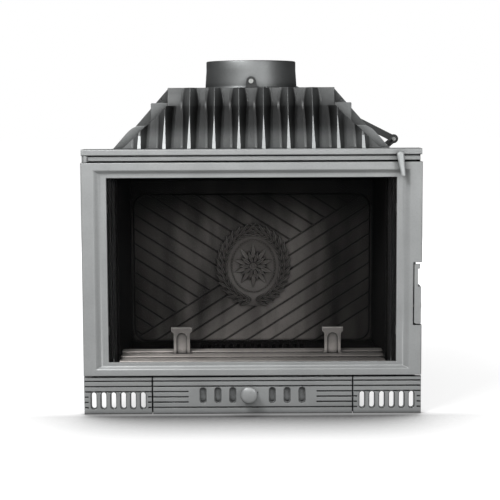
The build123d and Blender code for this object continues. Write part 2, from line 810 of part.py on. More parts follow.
def ellipse_plate(radii, front, back):
    """An upright oval plate on the fireback."""
    plane = Plane((medallion_x, back, medallion_z), x_dir=(1, 0, 0), z_dir=(0, -1, 0))
    return extrude(plane * Ellipse(*radii), back - front)


fireback_back = fireback_front + fireback_thickness
fireback_plane = Plane((0, fireback_back, 0), x_dir=(1, 0, 0), z_dir=(0, -1, 0))
fireback_middle = (floor_high + fireback_high) / 2
fireback_tall = fireback_high - floor_high
field_half = fireback_half - border_width
field_low = floor_high + border_foot
field_high = fireback_high - border_head


def field_block(inset, front, back):
    """A block over the fireback's rounded field, smaller all round by an inset."""
    plane = Plane((0, back, (field_low + field_high) / 2), x_dir=(1, 0, 0), z_dir=(0, -1, 0))
    width = 2 * (field_half - inset)
    height = field_high - field_low - 2 * inset
    return extrude(plane * RectangleRounded(width, height, border_radius - inset), back - front)


border_front = fireback_front - border_height
fireback = extrude(fireback_plane * Pos(0, fireback_middle) * Rectangle(2 * fireback_half, fireback_tall),
                   fireback_thickness + border_height)
fireback -= field_block(0, border_front - through, fireback_front)
field_cutter = field_block(field_groove_step, border_front, fireback_front + plank_groove_depth)
seam_grooves, cross_grooves = plank_grooves()
fireback -= (Compound(children=seam_grooves) + cross_grooves) & field_cutter
medallion_back = fireback_front + medallion_root
fireback += ellipse_plate(medallion_outer, fireback_front - medallion_height / 2, medallion_back)
fireback += ellipse_plate(medallion_inner, fireback_front - medallion_height, medallion_back)
fireback -= ellipse_plate([radius - medallion_rim for radius in medallion_inner],
                          fireback_front - medallion_height - 1, fireback_front - medallion_height / 2)
for x in (boss_inset - fireback_half, fireback_half - boss_inset):
    for z in (floor_high + boss_inset, fireback_high - boss_inset):
        fireback += block((x - boss_half, x + boss_half), (fireback_back, back_wall_front),
                          (z - boss_half, z + boss_half))
save("fireback", fireback)

slope_start = border_front
liner_outline = Polyline(
    (frame_back, floor_high),
    (slope_start, floor_high),
    (slope_start, fireback_high),
    (baffle_front, fireback_high + baffle_rise),
    (frame_back, fireback_high + baffle_rise),
    close=True,
)
liner_plane = Plane((side_inner - liner_thickness, 0, 0), x_dir=(0, 1, 0), z_dir=(1, 0, 0))
liner = extrude(liner_plane * make_face(liner_outline), liner_thickness)
save("liner_right", liner)
save("liner_left", mirror(liner, Plane.YZ))

hearth_half = side_inner - liner_thickness
baffle_outline = Polyline(
    (slope_start, fireback_high),
    (baffle_front, fireback_high + baffle_rise),
    (baffle_front, fireback_high + baffle_rise + baffle_thickness),
    (slope_start, fireback_high + baffle_thickness),
    close=True,
)
baffle_plane = Plane((-side_inner, 0, 0), x_dir=(0, 1, 0), z_dir=(1, 0, 0))
baffle = extrude(baffle_plane * make_face(baffle_outline), 2 * side_inner)
save("baffle", baffle)

sill_back = frame_back + sill_steps * sill_step_depth
sill = block((-hearth_half, hearth_half), (frame_back, sill_back), (floor_high, sill_low))
for step in range(1, sill_steps):
    sill += block((-hearth_half, hearth_half), (frame_back + step * sill_step_depth, sill_back),
                  (floor_high, sill_low + step * sill_step_rise))
save("front_sill", sill)

hearth_high = floor_high + hearth_thickness
hearth = block((-hearth_half, hearth_half), (sill_back, slope_start), (floor_high, hearth_high))
hearth -= block((-grate_half, grate_half), (grate_front, grate_back), (floor_low, hearth_high + through))
save("hearth_plate", hearth)

grate_high = hearth_high + grate_rise
grate = block((grate_gap - grate_half, grate_half - grate_gap),
              (grate_front + grate_gap, grate_back - grate_gap), (floor_high, grate_high))
bar_space = (2 * grate_half - 2 * grate_rim - grate_bar_width) / grate_bars
for number in range(grate_bars):
    x = grate_rim - grate_half + grate_bar_width + bar_space * (number + 0.5)
    grate -= block((x - bar_space / 2, x + bar_space / 2 - grate_bar_width),
                   (grate_front + grate_rim, grate_back - grate_rim), (floor_high - 1, grate_high + 1))
save("ash_grate", grate)

guard_foot = sill_low + sill_step_rise
guard_neck = guard_high - guard_cap
arch_half = guard_width / 2 - guard_rim
arch_centre = guard_neck - guard_rim / 2 - arch_half


def log_guard(x):
    """A small upright iron that keeps logs off the glass, with an arched recess and a wider cap."""
    plane = Plane((x, guard_y + guard_thickness, 0), x_dir=(1, 0, 0), z_dir=(0, -1, 0))
    half = guard_width / 2
    cap_half = guard_cap_width / 2
    right = [(half + guard_flare, guard_foot), (half, guard_foot + guard_flare),
             (half, guard_neck - guard_flare), (cap_half, guard_neck), (cap_half, guard_high)]
    left = [(-x_out, z) for x_out, z in reversed(right)]
    guard = extrude(plane * make_face(Polyline(*right, *left, close=True)), guard_thickness)
    recess_plane = Plane((x, guard_y + guard_recess, 0), x_dir=(1, 0, 0), z_dir=(0, -1, 0))
    middle = (guard_foot + arch_centre) / 2
    recess = extrude(recess_plane * Pos(0, middle) * Rectangle(2 * arch_half, arch_centre - guard_foot),
                     guard_recess + through)
    recess += extrude(recess_plane * Pos(0, arch_centre) * Circle(arch_half), guard_recess + through)
    return guard - recess


save("log_guard_left", log_guard(guard_places[0]))
save("log_guard_right", log_guard(guard_places[1]))


# --- Hood -------------------------------------------------------------------------------------

def between(z, low, high, at_low, at_high):
    """The value at height z on the straight line between two heights."""
    return at_low + (at_high - at_low) * (z - low) / (high - low)


def hood_half(z):
    """Half the hood's width at a height."""
    if z >= hood_crease:
        return hood_top_half
    return between(z, hood_base, hood_crease, hood_foot_half, hood_top_half)


def hood_front_at(z):
    """Where the front wall of the hood lies at a height."""
    if z >= hood_crease:
        return between(z, hood_crease, hood_top, hood_crease_front, hood_top_front)
    return between(z, hood_base, hood_crease, hood_front, hood_crease_front)


def hood_back_at(z):
    """Where the back wall of the hood lies at a height."""
    if z >= hood_crease:
        return hood_top_back
    return between(z, hood_base, hood_crease, hood_back, hood_top_back)


def hood_section(z, inset):
    """The hood's rectangle at a height, drawn in by an inset."""
    front = hood_front_at(z) + inset
    depth = hood_back_at(z) - inset - front
    return Plane((0, front + depth / 2, z)) * Rectangle(2 * (hood_half(z) - inset), depth)


def fin_section(x, z):
    """One level of a front fin: narrow in front, wide where it grows out of the wall."""
    front = between(z, hood_base, hood_top, fin_front, fin_top_front)
    edge = max(fin_edge_top, between(z, hood_base, fin_bend, fin_edge_foot, fin_edge_top)) / 2
    root = edge + fin_draft * fin_root_depth
    back = front + fin_root_depth
    outline = Polyline((x - edge, front), (x + edge, front), (x + root, back), (x - root, back), close=True)
    return Pos(0, 0, z) * make_face(outline)


hood_seat = plate_high


def hood_body(inset, low, high):
    """The hood's outer or inner form as a solid, with its slopes below and above the crease."""
    form = loft([hood_section(z, inset) for z in (low, hood_crease)], ruled=True)
    return form + loft([hood_section(z, inset) for z in (hood_crease, high)], ruled=True)


def across(outline, half):
    """A solid with an outline in Y and Z that reaches the same way to both sides."""
    plane = Plane((-half, 0, 0), x_dir=(0, 1, 0), z_dir=(1, 0, 0))
    return extrude(plane * make_face(Polyline(*outline, close=True)), 2 * half)


foot_half = hood_foot_half + hood_foot_width
foot_front = hood_front - hood_foot_width
shell = hood_body(0, hood_base, hood_top)
shell += block((-foot_half, foot_half), (foot_front, hood_back), (hood_seat, hood_base))
hood_inside = hood_body(hood_wall, hood_base - hood_wall, hood_top)
shell -= hood_inside
front_zone = across((
    (0, hood_seat),
    (hood_front_at(hood_base) + hood_wall, hood_seat),
    (hood_front_at(hood_base) + hood_wall, hood_base),
    (hood_front_at(hood_crease) + hood_wall, hood_crease),
    (hood_front_at(hood_top) + hood_wall, hood_top),
    (0, hood_top),
), foot_half)
back_zone = across((
    (hood_back + hood_wall, hood_seat),
    (hood_back_at(hood_base) - hood_wall, hood_seat),
    (hood_back_at(hood_base) - hood_wall, hood_base),
    (hood_back_at(hood_crease) - hood_wall, hood_crease),
    (hood_back_at(hood_top) - hood_wall, hood_top),
    (hood_back + hood_wall, hood_top),
), foot_half)

# Front casting: the sloping wall and its ten upright fins. The back is a plain casting.
hood_front_wall = shell & front_zone
hood_back_wall = shell & back_zone
fin_places = [side * fin_pitch * (number + 0.5) for side in (-1, 1) for number in range(fin_pairs)]
front_fins = [loft([fin_section(x, z) for z in (hood_base, fin_bend, hood_top)], ruled=True)
              for x in fin_places]
front_outline = Polyline(
    (-hood_foot_half, hood_base),
    (hood_foot_half, hood_base),
    (hood_top_half, hood_crease),
    (hood_top_half, hood_top),
    (-hood_top_half, hood_top),
    (-hood_top_half, hood_crease),
    close=True,
)
front_plane = Plane((0, collar_y, 0), x_dir=(1, 0, 0), z_dir=(0, -1, 0))
front_block = extrude(front_plane * make_face(front_outline), collar_y) & front_zone
fin_feet = [extrude(fin_section(x, hood_base), hood_seat - hood_base) for x in fin_places]
for fin, foot in zip(front_fins, fin_feet):
    hood_front_wall += fin & front_block
    hood_front_wall += foot & front_zone
save("hood_front", hood_front_wall)


def side_fin(y, points):
    """A fin on the right side of the hood, square to Y."""
    plane = Plane((0, y + side_fin_thickness / 2, 0), x_dir=(1, 0, 0), z_dir=(0, -1, 0))
    return extrude(plane * make_face(Polyline(*points, close=True)), side_fin_thickness)


def side_edge(z):
    """How far out the side fins reach at a height."""
    return between(z, hood_seat, hood_top, side_fin_foot, side_fin_top)


root_foot = hood_foot_half - fin_sunk
root_top = hood_top_half - fin_sunk_top
full_fin = ((root_foot, hood_seat), (side_edge(hood_seat), hood_seat), (side_edge(hood_top), hood_top),
            (root_top, hood_top), (root_top, hood_crease))
first_fin = ((hood_foot_half, hood_seat), (side_edge(hood_seat), hood_seat),
             (side_edge(side_fin_first_high), side_fin_first_high),
             (hood_half(side_fin_first_high), side_fin_first_high))
second_fin = ((side_fin_second_half, hood_base + (hood_foot_half - side_fin_second_half) - fin_sunk),
              (side_fin_second_half, side_fin_second_high),
              (root_top, side_fin_second_high), (root_top, hood_crease))
side_fins = side_fin(side_fin_first, first_fin) + side_fin(side_fin_second, second_fin)
for number in range(side_fin_count):
    fin = side_fin(side_fin_second + side_fin_pitch * (number + 1), full_fin)
    hole_x, hole_z = side_fin_hole
    fin -= rod((hole_x, 0, hole_z), side_fin_hole_radius, hood_back, (0, 1, 0))
    side_fins += fin

# Side castings: between front and back, each with its fins.
right_zone = block((0, foot_half + 1), (0, hood_back), (hood_seat, hood_top))
hood_side = (shell - front_zone - back_zone) & right_zone
hood_side += side_fins - hood_inside - hood_front_wall - hood_back_wall
save("hood_side_right", hood_side)
save("hood_side_left", mirror(hood_side, Plane.YZ))
save("hood_back", hood_back_wall)

# Top casting: it lies between the four walls and carries the collar.
collar_bore = collar_top_radius - collar_wall
hood_lid = loft([hood_section(z, hood_wall) for z in (hood_top - hood_wall, hood_top)], ruled=True)
hood_lid -= rod((0, collar_y, hood_crease), collar_bore, hood_top - hood_crease + through, (0, 0, 1))
save("hood_top", hood_lid)

# --- Flue collar and damper ------------------------------------------------------------------------

taper_high = collar_high - collar_straight
collar_profile = Polyline(
    (collar_bore, hood_top),
    (collar_radius, hood_top),
    (collar_top_radius, taper_high),
    (collar_top_radius, collar_high),
    (collar_bore, collar_high),
    close=True,
)
collar_plane = Plane((0, collar_y, 0), x_dir=(1, 0, 0), z_dir=(0, -1, 0))
collar = revolve(collar_plane * make_face(collar_profile), Axis((0, collar_y, 0), (0, 0, 1)))
lug_front = collar_y - collar_radius - lug_depth
lug_start = collar_y - collar_bore - lug_root
lug_plane = Plane((0, lug_start, 0), x_dir=(1, 0, 0), z_dir=(0, -1, 0))
lug_reach = lug_start - lug_front
lug_outline = lug_plane * Pos(0, (lug_low + flap_z) / 2) * Rectangle(2 * lug_half, flap_z - lug_low)
collar += extrude(lug_outline, lug_reach)
collar += extrude(lug_plane * Pos(0, flap_z) * Circle(lug_half), lug_reach)
collar += rod((0, collar_y + collar_bore + lug_root, flap_z), lug_half,
              collar_wall + back_lug_length, (0, 1, 0))
collar_reach = 2 * (collar_y - lug_front) + back_lug_length
collar -= rod((0, lug_front - 1, flap_z), shaft_radius + running_fit, collar_reach, (0, 1, 0))
save("flue_collar", collar)

flap_shaft_front = lug_front - shaft_end
flap_shaft = rod((0, flap_shaft_front, flap_z), shaft_radius, crank_back - flap_shaft_front, (0, 1, 0))
save("flap_shaft", flap_shaft)

flap = rod((0, collar_y, flap_z - flap_thickness / 2), flap_radius, flap_thickness, (0, 0, 1))
hub_radius = shaft_radius + hub_wall
hub_half = flap_radius - hub_short
flap += rod((0, collar_y - hub_half, flap_z), hub_radius, 2 * hub_half, (0, 1, 0))
flap -= rod((0, collar_y - flap_radius - through, flap_z), shaft_radius, 2 * (flap_radius + through),
            (0, 1, 0))
flap -= block((flap_cut, flap_radius + 1), (collar_y - flap_radius, collar_y + flap_radius),
              (flap_z - flap_thickness, flap_z + flap_thickness))
save("damper_flap", flap)


def crank(x, z):
    """A flat arm from a shaft to a pin, with both holes."""
    pin = (x + crank_reach[0], z + crank_reach[1])
    length = hypot(*crank_reach)
    turn = degrees(atan2(crank_reach[1], crank_reach[0]))
    plane = Plane((0, crank_back, 0), x_dir=(1, 0, 0), z_dir=(0, -1, 0))
    arm = SlotOverall(length + crank_width, crank_width, rotation=turn)
    solid = extrude(plane * Pos((x + pin[0]) / 2, (z + pin[1]) / 2) * arm, crank_thickness)
    solid -= rod((x, crank_front - 1, z), shaft_radius, crank_thickness + through, (0, 1, 0))
    solid -= rod((pin[0], crank_front - 1, pin[1]), pin_radius, crank_thickness + through, (0, 1, 0))
    return solid


def crank_pin(x, z):
    """The headed pin that sits in a crank and carries the link."""
    start = (x + crank_reach[0], crank_front, z + crank_reach[1])
    pin = rod(start, pin_radius, link_back + gap - crank_front, (0, 1, 0))
    head_start = (start[0], link_back + gap, start[2])
    return pin + rod(head_start, pin_radius + pin_head_rim, pin_head_height, (0, 1, 0))


save("control_crank", crank(shaft_x, shaft_z))
save("flap_crank", crank(0, flap_z))
save("control_pin", crank_pin(shaft_x, shaft_z))
save("flap_pin", crank_pin(0, flap_z))

link_start = (shaft_x + crank_reach[0], shaft_z + crank_reach[1])
link_end = (crank_reach[0], flap_z + crank_reach[1])
link_run = (link_end[0] - link_start[0], link_end[1] - link_start[1])
link_plane = Plane((0, link_back, 0), x_dir=(1, 0, 0), z_dir=(0, -1, 0))
link_middle = Pos((link_start[0] + link_end[0]) / 2, (link_start[1] + link_end[1]) / 2)
link_slope = degrees(atan2(link_run[1], link_run[0]))
link_bar = SlotOverall(hypot(*link_run) + link_width, link_width, rotation=link_slope)
link_cut = link_thickness + through
link = extrude(link_plane * link_middle * link_bar, link_thickness)
link += rod((link_start[0], link_front, link_start[1]), link_width / 2 + link_eye_wall,
            link_thickness, (0, 1, 0))
link -= rod((link_start[0], link_front - 1, link_start[1]), pin_radius + running_fit, link_cut, (0, 1, 0))
link -= rod((link_end[0], link_front - 1, link_end[1]), pin_radius + open_pivot_clearance,
            link_cut, (0, 1, 0))
save("damper_link", link)

shaft_front = lever_back - lever_thickness + lever_wall
control_shaft = rod((shaft_x, shaft_front, shaft_z), shaft_radius, crank_back - shaft_front, (0, 1, 0))
save("control_shaft", control_shaft)

lever_plane = Plane((0, lever_back, 0), x_dir=(1, 0, 0), z_dir=(0, -1, 0))
with BuildSketch(lever_plane) as lever_sketch:
    with Locations((shaft_x, shaft_z)):
        Circle(lever_head_radius)
    with Locations(lever_tip):
        Circle(lever_tip_radius)
    make_hull()
lever = extrude(lever_sketch.sketch, lever_thickness)
lever = chamfer(lever.faces().sort_by(Axis.Y)[0].edges(), lever_edge)
lever -= rod((shaft_x, shaft_front, shaft_z), shaft_radius, lever_thickness + through, (0, 1, 0))
save("damper_lever", lever)

bracket_radius = shaft_radius + bracket_wall
bracket_high = shaft_z + bracket_wall
bracket = rod((shaft_x, bracket_y, shaft_z), bracket_radius, bracket_thickness, (0, 1, 0))
bracket += block((body_half, shaft_x), (bracket_y, bracket_y + bracket_thickness),
                 (shaft_z - bracket_radius, bracket_high))
bracket += block((body_half, body_half + bracket_foot), (bracket_y, bracket_y + bracket_thickness),
                 (shaft_z - bracket_radius - bracket_foot_drop, bracket_high))
bracket -= rod((shaft_x, bracket_y - 1, shaft_z), shaft_radius + running_fit, bracket_thickness + through,
               (0, 1, 0))
save("shaft_bracket", bracket)
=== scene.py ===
import math

import bmesh
import bpy
from mathutils import Matrix, Vector


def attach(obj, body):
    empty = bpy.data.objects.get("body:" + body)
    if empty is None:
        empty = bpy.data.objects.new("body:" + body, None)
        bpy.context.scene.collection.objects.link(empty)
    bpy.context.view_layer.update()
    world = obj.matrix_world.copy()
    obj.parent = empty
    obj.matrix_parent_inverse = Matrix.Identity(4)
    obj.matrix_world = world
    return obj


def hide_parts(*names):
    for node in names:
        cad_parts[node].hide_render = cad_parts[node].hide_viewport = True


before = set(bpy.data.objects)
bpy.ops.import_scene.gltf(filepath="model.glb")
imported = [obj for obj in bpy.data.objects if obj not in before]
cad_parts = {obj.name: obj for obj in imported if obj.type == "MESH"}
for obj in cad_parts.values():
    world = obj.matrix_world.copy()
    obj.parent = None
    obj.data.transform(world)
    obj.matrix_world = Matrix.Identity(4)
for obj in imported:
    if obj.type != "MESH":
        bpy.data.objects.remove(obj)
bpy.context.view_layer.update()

# Sizes below are in millimetres, measured from the face of the door (y 0) and the floor (z 0).
faceShift = -218.5  # the model's origin lies this far behind the door's face
toFrame = Matrix.Scale(0.001, 4) @ Matrix.Translation((0, faceShift, 0))
weldWithin = 0.002  # corners nearer to each other than this become one


# Small tools for meshes

def box(bm, *ends):
    # ends: the lowest and highest x, y and z
    verts = bmesh.ops.create_cube(bm, size=1)["verts"]
    bmesh.ops.scale(bm, vec=Vector([high - low for low, high in ends]), verts=verts)
    bmesh.ops.translate(bm, vec=Vector([(low + high) / 2 for low, high in ends]), verts=verts)


def boxes(bm, rows):
    for ends in rows:
        box(bm, *ends)


def tube(bm, start, end, radius, sides=32):
    start, end = Vector(start), Vector(end)
    run = end - start
    pose = Matrix.Translation((start + end) / 2) @ run.to_track_quat("Z", "Y").to_matrix().to_4x4()
    bmesh.ops.create_cone(bm, cap_ends=True, cap_tris=False, segments=sides, radius1=radius, radius2=radius,
                          depth=run.length, matrix=pose)


def loopOf(bm, points):
    verts = [bm.verts.new(point) for point in points]
    return [bm.edges.new((verts[n], verts[(n + 1) % len(verts)])) for n in range(len(verts))]


def stackLoops(bm, loops, caps=True):
    # one closed loop is drawn and pulled on from level to level
    edges = loopOf(bm, loops[0])
    verts = [edge.verts[0] for edge in edges]
    if caps:
        bmesh.ops.contextual_create(bm, geom=edges)
    for points in loops[1:]:
        made = bmesh.ops.extrude_edge_only(bm, edges=edges)["geom"]
        fresh = {g for g in made if isinstance(g, bmesh.types.BMVert)}
        verts = [next(e.other_vert(v) for e in v.link_edges if e.other_vert(v) in fresh) for v in verts]
        for vert, point in zip(verts, points):
            vert.co = point
        edges = [bm.edges.get((verts[n], verts[(n + 1) % len(verts)])) for n in range(len(verts))]
    if caps:
        bmesh.ops.contextual_create(bm, geom=edges)


def plateFrom(bm, outline, thickness, matrix):
    ring = loopOf(bm, [Vector((x, y, 0)) for x, y in outline])
    face = bmesh.ops.contextual_create(bm, geom=ring)["faces"]
    made = bmesh.ops.extrude_face_region(bm, geom=face)["geom"]
    moved = [g for g in made if isinstance(g, bmesh.types.BMVert)]
    bmesh.ops.translate(bm, vec=(0, 0, thickness), verts=moved)
    verts = list({v for edge in ring for v in edge.verts} | set(moved))
    bmesh.ops.transform(bm, matrix=matrix, verts=verts)


def upright(x=0, y=0, z=0):
    # turns a drawing in its own X and Y into one in X and Z that grows towards the back
    return Matrix.Translation((x, y, z)) @ Matrix(((1, 0, 0, 0), (0, 0, 1, 0), (0, 1, 0, 0), (0, 0, 0, 1)))


def sideways(x):
    # turns a drawing in its own X and Y into one in Y and Z that grows to the right
    return Matrix.Translation((x, 0, 0)) @ Matrix(((0, 0, 1, 0), (1, 0, 0, 0), (0, 1, 0, 0), (0, 0, 0, 1)))


def arc(x, y, radius, angles):
    return [(x + radius * math.cos(math.radians(a)), y + radius * math.sin(math.radians(a))) for a in angles]


def roundedOutline(half, tall, radius, steps, middle=0.0):
    # a rectangle with round corners, by half its width and height, with its middle at this height
    points = []
    for x, y, start in ((half - radius, tall - radius, 0), (radius - half, tall - radius, 90),
                        (radius - half, radius - tall, 180), (half - radius, radius - tall, 270)):
        points += arc(x, middle + y, radius, [start + 90 * step / steps for step in range(steps + 1)])
    return points


def atDepth(outline, y):
    return [(x, y, z) for x, z in outline]


def spinProfile(bm, profile, center, axis, steps):
    verts = [bm.verts.new(point) for point in profile]
    edges = [bm.edges.new(pair) for pair in zip(verts, verts[1:])]
    bmesh.ops.spin(bm, geom=verts + edges, cent=center, axis=axis, angle=math.tau, steps=steps,
                   use_merge=True, use_duplicate=False)


def meshObject(bm, name):
    bmesh.ops.remove_doubles(bm, verts=bm.verts[:], dist=weldWithin)
    bmesh.ops.recalc_face_normals(bm, faces=bm.faces[:])
    bmesh.ops.transform(bm, matrix=toFrame, verts=bm.verts[:])
    mesh = bpy.data.meshes.new(name)
    bm.to_mesh(mesh)
    bm.free()
    piece = bpy.data.objects.new(name, mesh)
    bpy.context.scene.collection.objects.link(piece)
    return piece


def drawn(name, draw, *sizes):
    # an object with what one drawing function puts into an empty mesh
    bm = bmesh.new()
    draw(bm, *sizes)
    return meshObject(bm, name)


def carve(piece, cutters):
    for cutter in cutters:
        step = piece.modifiers.new("carve", "BOOLEAN")
        step.operation = "DIFFERENCE"
        step.solver = "EXACT"
        step.object = cutter
        bpy.context.view_layer.update()
        graph = bpy.context.evaluated_depsgraph_get()
        carved = bpy.data.meshes.new_from_object(piece.evaluated_get(graph))
        piece.modifiers.clear()
        old = piece.data
        piece.data = carved
        carved.name = piece.name
        bpy.data.meshes.remove(old)
        bpy.data.objects.remove(cutter)
    return piece


def softenEdges(piece, width, segments, angle):
    step = piece.modifiers.new("rounded edges", "BEVEL")
    step.width = width / 1000
    step.segments = segments
    step.limit_method = "ANGLE"
    step.angle_limit = math.radians(angle)
    step = piece.modifiers.new("even shading", "WEIGHTED_NORMAL")
    step.keep_sharp = True


def place(piece, material, body, nodes=(), edge=0.0, segments=3, angle=35):
    piece.data.materials.clear()
    piece.data.materials.append(material)
    for face in piece.data.polygons:
        face.use_smooth = True
    piece.data.set_sharp_from_angle(angle=math.radians(angle))
    if edge:
        softenEdges(piece, edge, segments, angle)
    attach(piece, body)
    if nodes:
        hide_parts(*nodes)


# Materials

def linear(hexColour):
    parts = [int(hexColour[n:n + 2], 16) / 255 for n in (1, 3, 5)]
    return [p / 12.92 if p <= 0.04045 else ((p + 0.055) / 1.055) ** 2.4 for p in parts] + [1.0]


def grey(value):
    return (value, value, value, 1)


def metres(*sizes):
    return [size / 1000 for size in sizes]


def addNode(tree, kind, settings=None):
    # a value that is an output of another node is linked, any other value is set
    node = tree.nodes.new("ShaderNode" + kind)
    for name, value in (settings or {}).items():
        if isinstance(value, bpy.types.NodeSocket):
            tree.links.new(value, node.inputs[name])
        elif isinstance(name, int) or name in node.inputs.keys():
            node.inputs[name].default_value = value
        else:
            setattr(node, name, value)
    return node


def noise(tree, spots, size, detail, roughness=0.5):
    # size: of one feature in millimetres, on coordinates in metres
    return addNode(tree, "TexNoise", {"Vector": spots, "Scale": 1000 / size, "Detail": detail,
                                      "Roughness": roughness}).outputs["Fac"]


def ranged(tree, value, source, target=(0.0, 1.0), way="LINEAR"):
    return addNode(tree, "MapRange", {
        "interpolation_type": way, "Value": value, "From Min": source[0], "From Max": source[1],
        "To Min": target[0], "To Max": target[1]}).outputs["Result"]


def ramp(tree, value, ends, first, last):
    node = addNode(tree, "ValToRGB", {"Fac": value})
    for element, at, colour in zip(node.color_ramp.elements, ends, (first, last)):
        element.position, element.color = at, colour
    return node.outputs["Color"]


def calculate(tree, operation, *values):
    return addNode(tree, "Math", {"operation": operation, **dict(enumerate(values))}).outputs[0]


def mixed(tree, share, first, second, way="MIX"):
    return addNode(tree, "Mix", {"data_type": "RGBA", "blend_type": way, 0: share, 6: first,
                                 7: second}).outputs[2]


def openness(tree, reach, samples=6):
    # how freely the light reaches a spot, 0 to 1
    return addNode(tree, "AmbientOcclusion", {"samples": samples, "Distance": reach / 1000}).outputs["AO"]


def roundedNormal(tree, radius):
    return addNode(tree, "Bevel", {"samples": 4, "Radius": radius / 1000}).outputs["Normal"]


def bumped(tree, height, strength, deep, **more):
    return addNode(tree, "Bump", {"Height": height, "Strength": strength, "Distance": deep / 1000,
                                  **more}).outputs["Normal"]


def startMaterial(name):
    material = bpy.data.materials.new(name)
    material.use_nodes = True
    tree = material.node_tree
    tree.nodes.clear()
    return material, tree, addNode(tree, "TexCoord").outputs["Object"]


def surface(tree, settings):
    shader = addNode(tree, "BsdfPrincipled", settings)
    addNode(tree, "OutputMaterial", {"Surface": shader.outputs["BSDF"]})


noiseSpan = (0.3, 0.7)  # most of a noise's values lie between these

# What a casting's look holds, with the values that a look leaves out. Sizes are in millimetres.
castLook = {
    "light": "#b2b4b4", "dark": "#a8aaaa", "span": noiseSpan, "cloudMm": 70,  # soft clouds in the paint
    "stretch": (1, 1, 1), "lean": (0, 0, 0), "shift": (0, 0, 0),  # of the clouds
    "speckMm": 3.4, "speckDepth": 0.05, "speckSpan": (0.36, 0.52),  # dark specks
    "edge": "#c9cccc", "wear": 0.55, "edgeMm": 1.4, "wornFrom": (0.08, 0.45), "patchMm": 9,  # rubbed edges
    "dustMm": 18, "cornerStart": 0.3, "corner": 0.03, "cornerEnd": 0.9,  # painted shade in the corners
    "free": (0.55, 0.8),  # how open a rubbed edge stands
    "rough": (0.38, 0.50), "metallic": 0.45, "specular": 0.5,
    "waveStrength": 0.25, "waveDeep": 1.2, "gritMm": 2.2, "gritStrength": 0.16, "gritDeep": 0.4,  # relief
    "fade": (),  # axis, start, end and what is left of the colour's brightness at both
    "soot": None,  # soot and painted shade: fades out between these distances from the middle, and between these heights
    "grime": None}  # painted shade: grows between two heights to a strength, ends at a height, and what is left above

# the colours of soot and of painted shade, and the openness between which the painted shade in the hood's
# valleys thins out to its outside share
sootAndShadeLook = {"soot": "#161514", "grime": "#1b1b1b", "reachMm": 50, "open": (0.6, 0.95), "outside": 0.5}


def castIron(name, **look):
    # Sand-cast grey iron: a fine pebbled skin from the mould sand, larger soft waves, paint that is
    # a little thinner and lighter on the edges, and painted shade in the corners.
    look = {**castLook, **look}
    material, tree, spots = startMaterial(name)
    axes = addNode(tree, "SeparateXYZ", {0: spots}).outputs
    long = addNode(tree, "Mapping", {"Vector": spots, "Location": look["shift"], "Rotation": look["lean"],
                                     "Scale": look["stretch"]}).outputs["Vector"]
    cloud = noise(tree, long, look["cloudMm"], 3.0, 0.55)
    speck = noise(tree, spots, look["speckMm"], 2.0, 0.6)
    grit = noise(tree, spots, look["gritMm"], 2.0, 0.65)
    base = ramp(tree, cloud, look["span"], linear(look["dark"]), linear(look["light"]))
    specks = ramp(tree, speck, look["speckSpan"], grey(1 - look["speckDepth"]), grey(1.0))
    colour = mixed(tree, 1.0, base, specks, "MULTIPLY")
    if look["grime"]:
        # painted shade deep between the fins, up to the crease of the hood
        low, full, depth, end, above = look["grime"]
        rise = ranged(tree, axes["Z"], metres(low, full), way="SMOOTHSTEP")
        stop = ranged(tree, axes["Z"], metres(end, end + 2), (1.0, above))
        inside = ranged(tree, openness(tree, sootAndShadeLook["reachMm"]), sootAndShadeLook["open"],
                        (depth, sootAndShadeLook["outside"] * depth))
        share = calculate(tree, "MULTIPLY", calculate(tree, "MULTIPLY", rise, stop), inside)
        colour = mixed(tree, share, colour, linear(sootAndShadeLook["grime"]))
    for axis, start, end, first, last in look["fade"]:
        # brighter or darker towards one end: painted light and shade on the fireback, the sill and the side
        # fins, and darker towards the top on the log guards
        share = ranged(tree, axes[axis], metres(start, end), (first, last), "SMOOTHSTEP")
        faded = addNode(tree, "VectorMath", {"operation": "SCALE", 0: colour, "Scale": share})
        colour = faded.outputs["Vector"]
    if look["soot"]:
        # inside the firebox the paint is black with soot and painted shade
        inner, below = look["soot"]
        sides = ranged(tree, calculate(tree, "ABSOLUTE", axes["X"]), metres(*inner), (1.0, 0.0))
        up = ranged(tree, axes["Z"], metres(*below), (1.0, 0.0))
        colour = mixed(tree, calculate(tree, "MULTIPLY", sides, up), colour, linear(sootAndShadeLook["soot"]))
    # edges that are bent and stand free are rubbed, here and there
    rounded = roundedNormal(tree, look["edgeMm"])
    flat = addNode(tree, "NewGeometry").outputs["Normal"]
    bend = addNode(tree, "VectorMath", {"operation": "DISTANCE", 0: rounded, 1: flat}).outputs["Value"]
    hollow = openness(tree, look["dustMm"])
    rubbed = calculate(tree, "MULTIPLY", bend, ranged(tree, hollow, look["free"]))
    worn = calculate(tree, "MULTIPLY", rubbed, noise(tree, spots, look["patchMm"], 4.0))
    edge = ramp(tree, worn, look["wornFrom"], grey(0.0), grey(look["wear"]))
    colour = mixed(tree, edge, colour, linear(look["edge"]))
    # painted shade: the paint is darkened in corners and hollows, where the openness shows that little light
    # gets in
    dust = ramp(tree, hollow, (look["cornerStart"], look["cornerEnd"]), grey(look["corner"]), grey(1.0))
    colour = mixed(tree, 1.0, colour, dust, "MULTIPLY")
    waves = bumped(tree, cloud, look["waveStrength"], look["waveDeep"], Normal=rounded)
    skin = bumped(tree, grit, look["gritStrength"], look["gritDeep"], Normal=waves)
    surface(tree, {"Base Color": colour, "Metallic": look["metallic"], "Specular IOR Level": look["specular"],
                   "Roughness": ranged(tree, grit, noiseSpan, look["rough"]), "Normal": skin})
    return material


# graphite-grey heat-proof paint, sprayed: satin, even, slightly metallic
facePaint = castIron("graphite stove paint on cast iron")

# the plinth's panels have a darker coat
plinthPaint = castIron(
    "dark graphite stove paint", light="#aeb0b0", dark="#a2a4a4", edge="#c4c7c7", wear=0.7, edgeMm=1.2,
    corner=0.0, cornerStart=0.42, cornerEnd=0.92, dustMm=9)
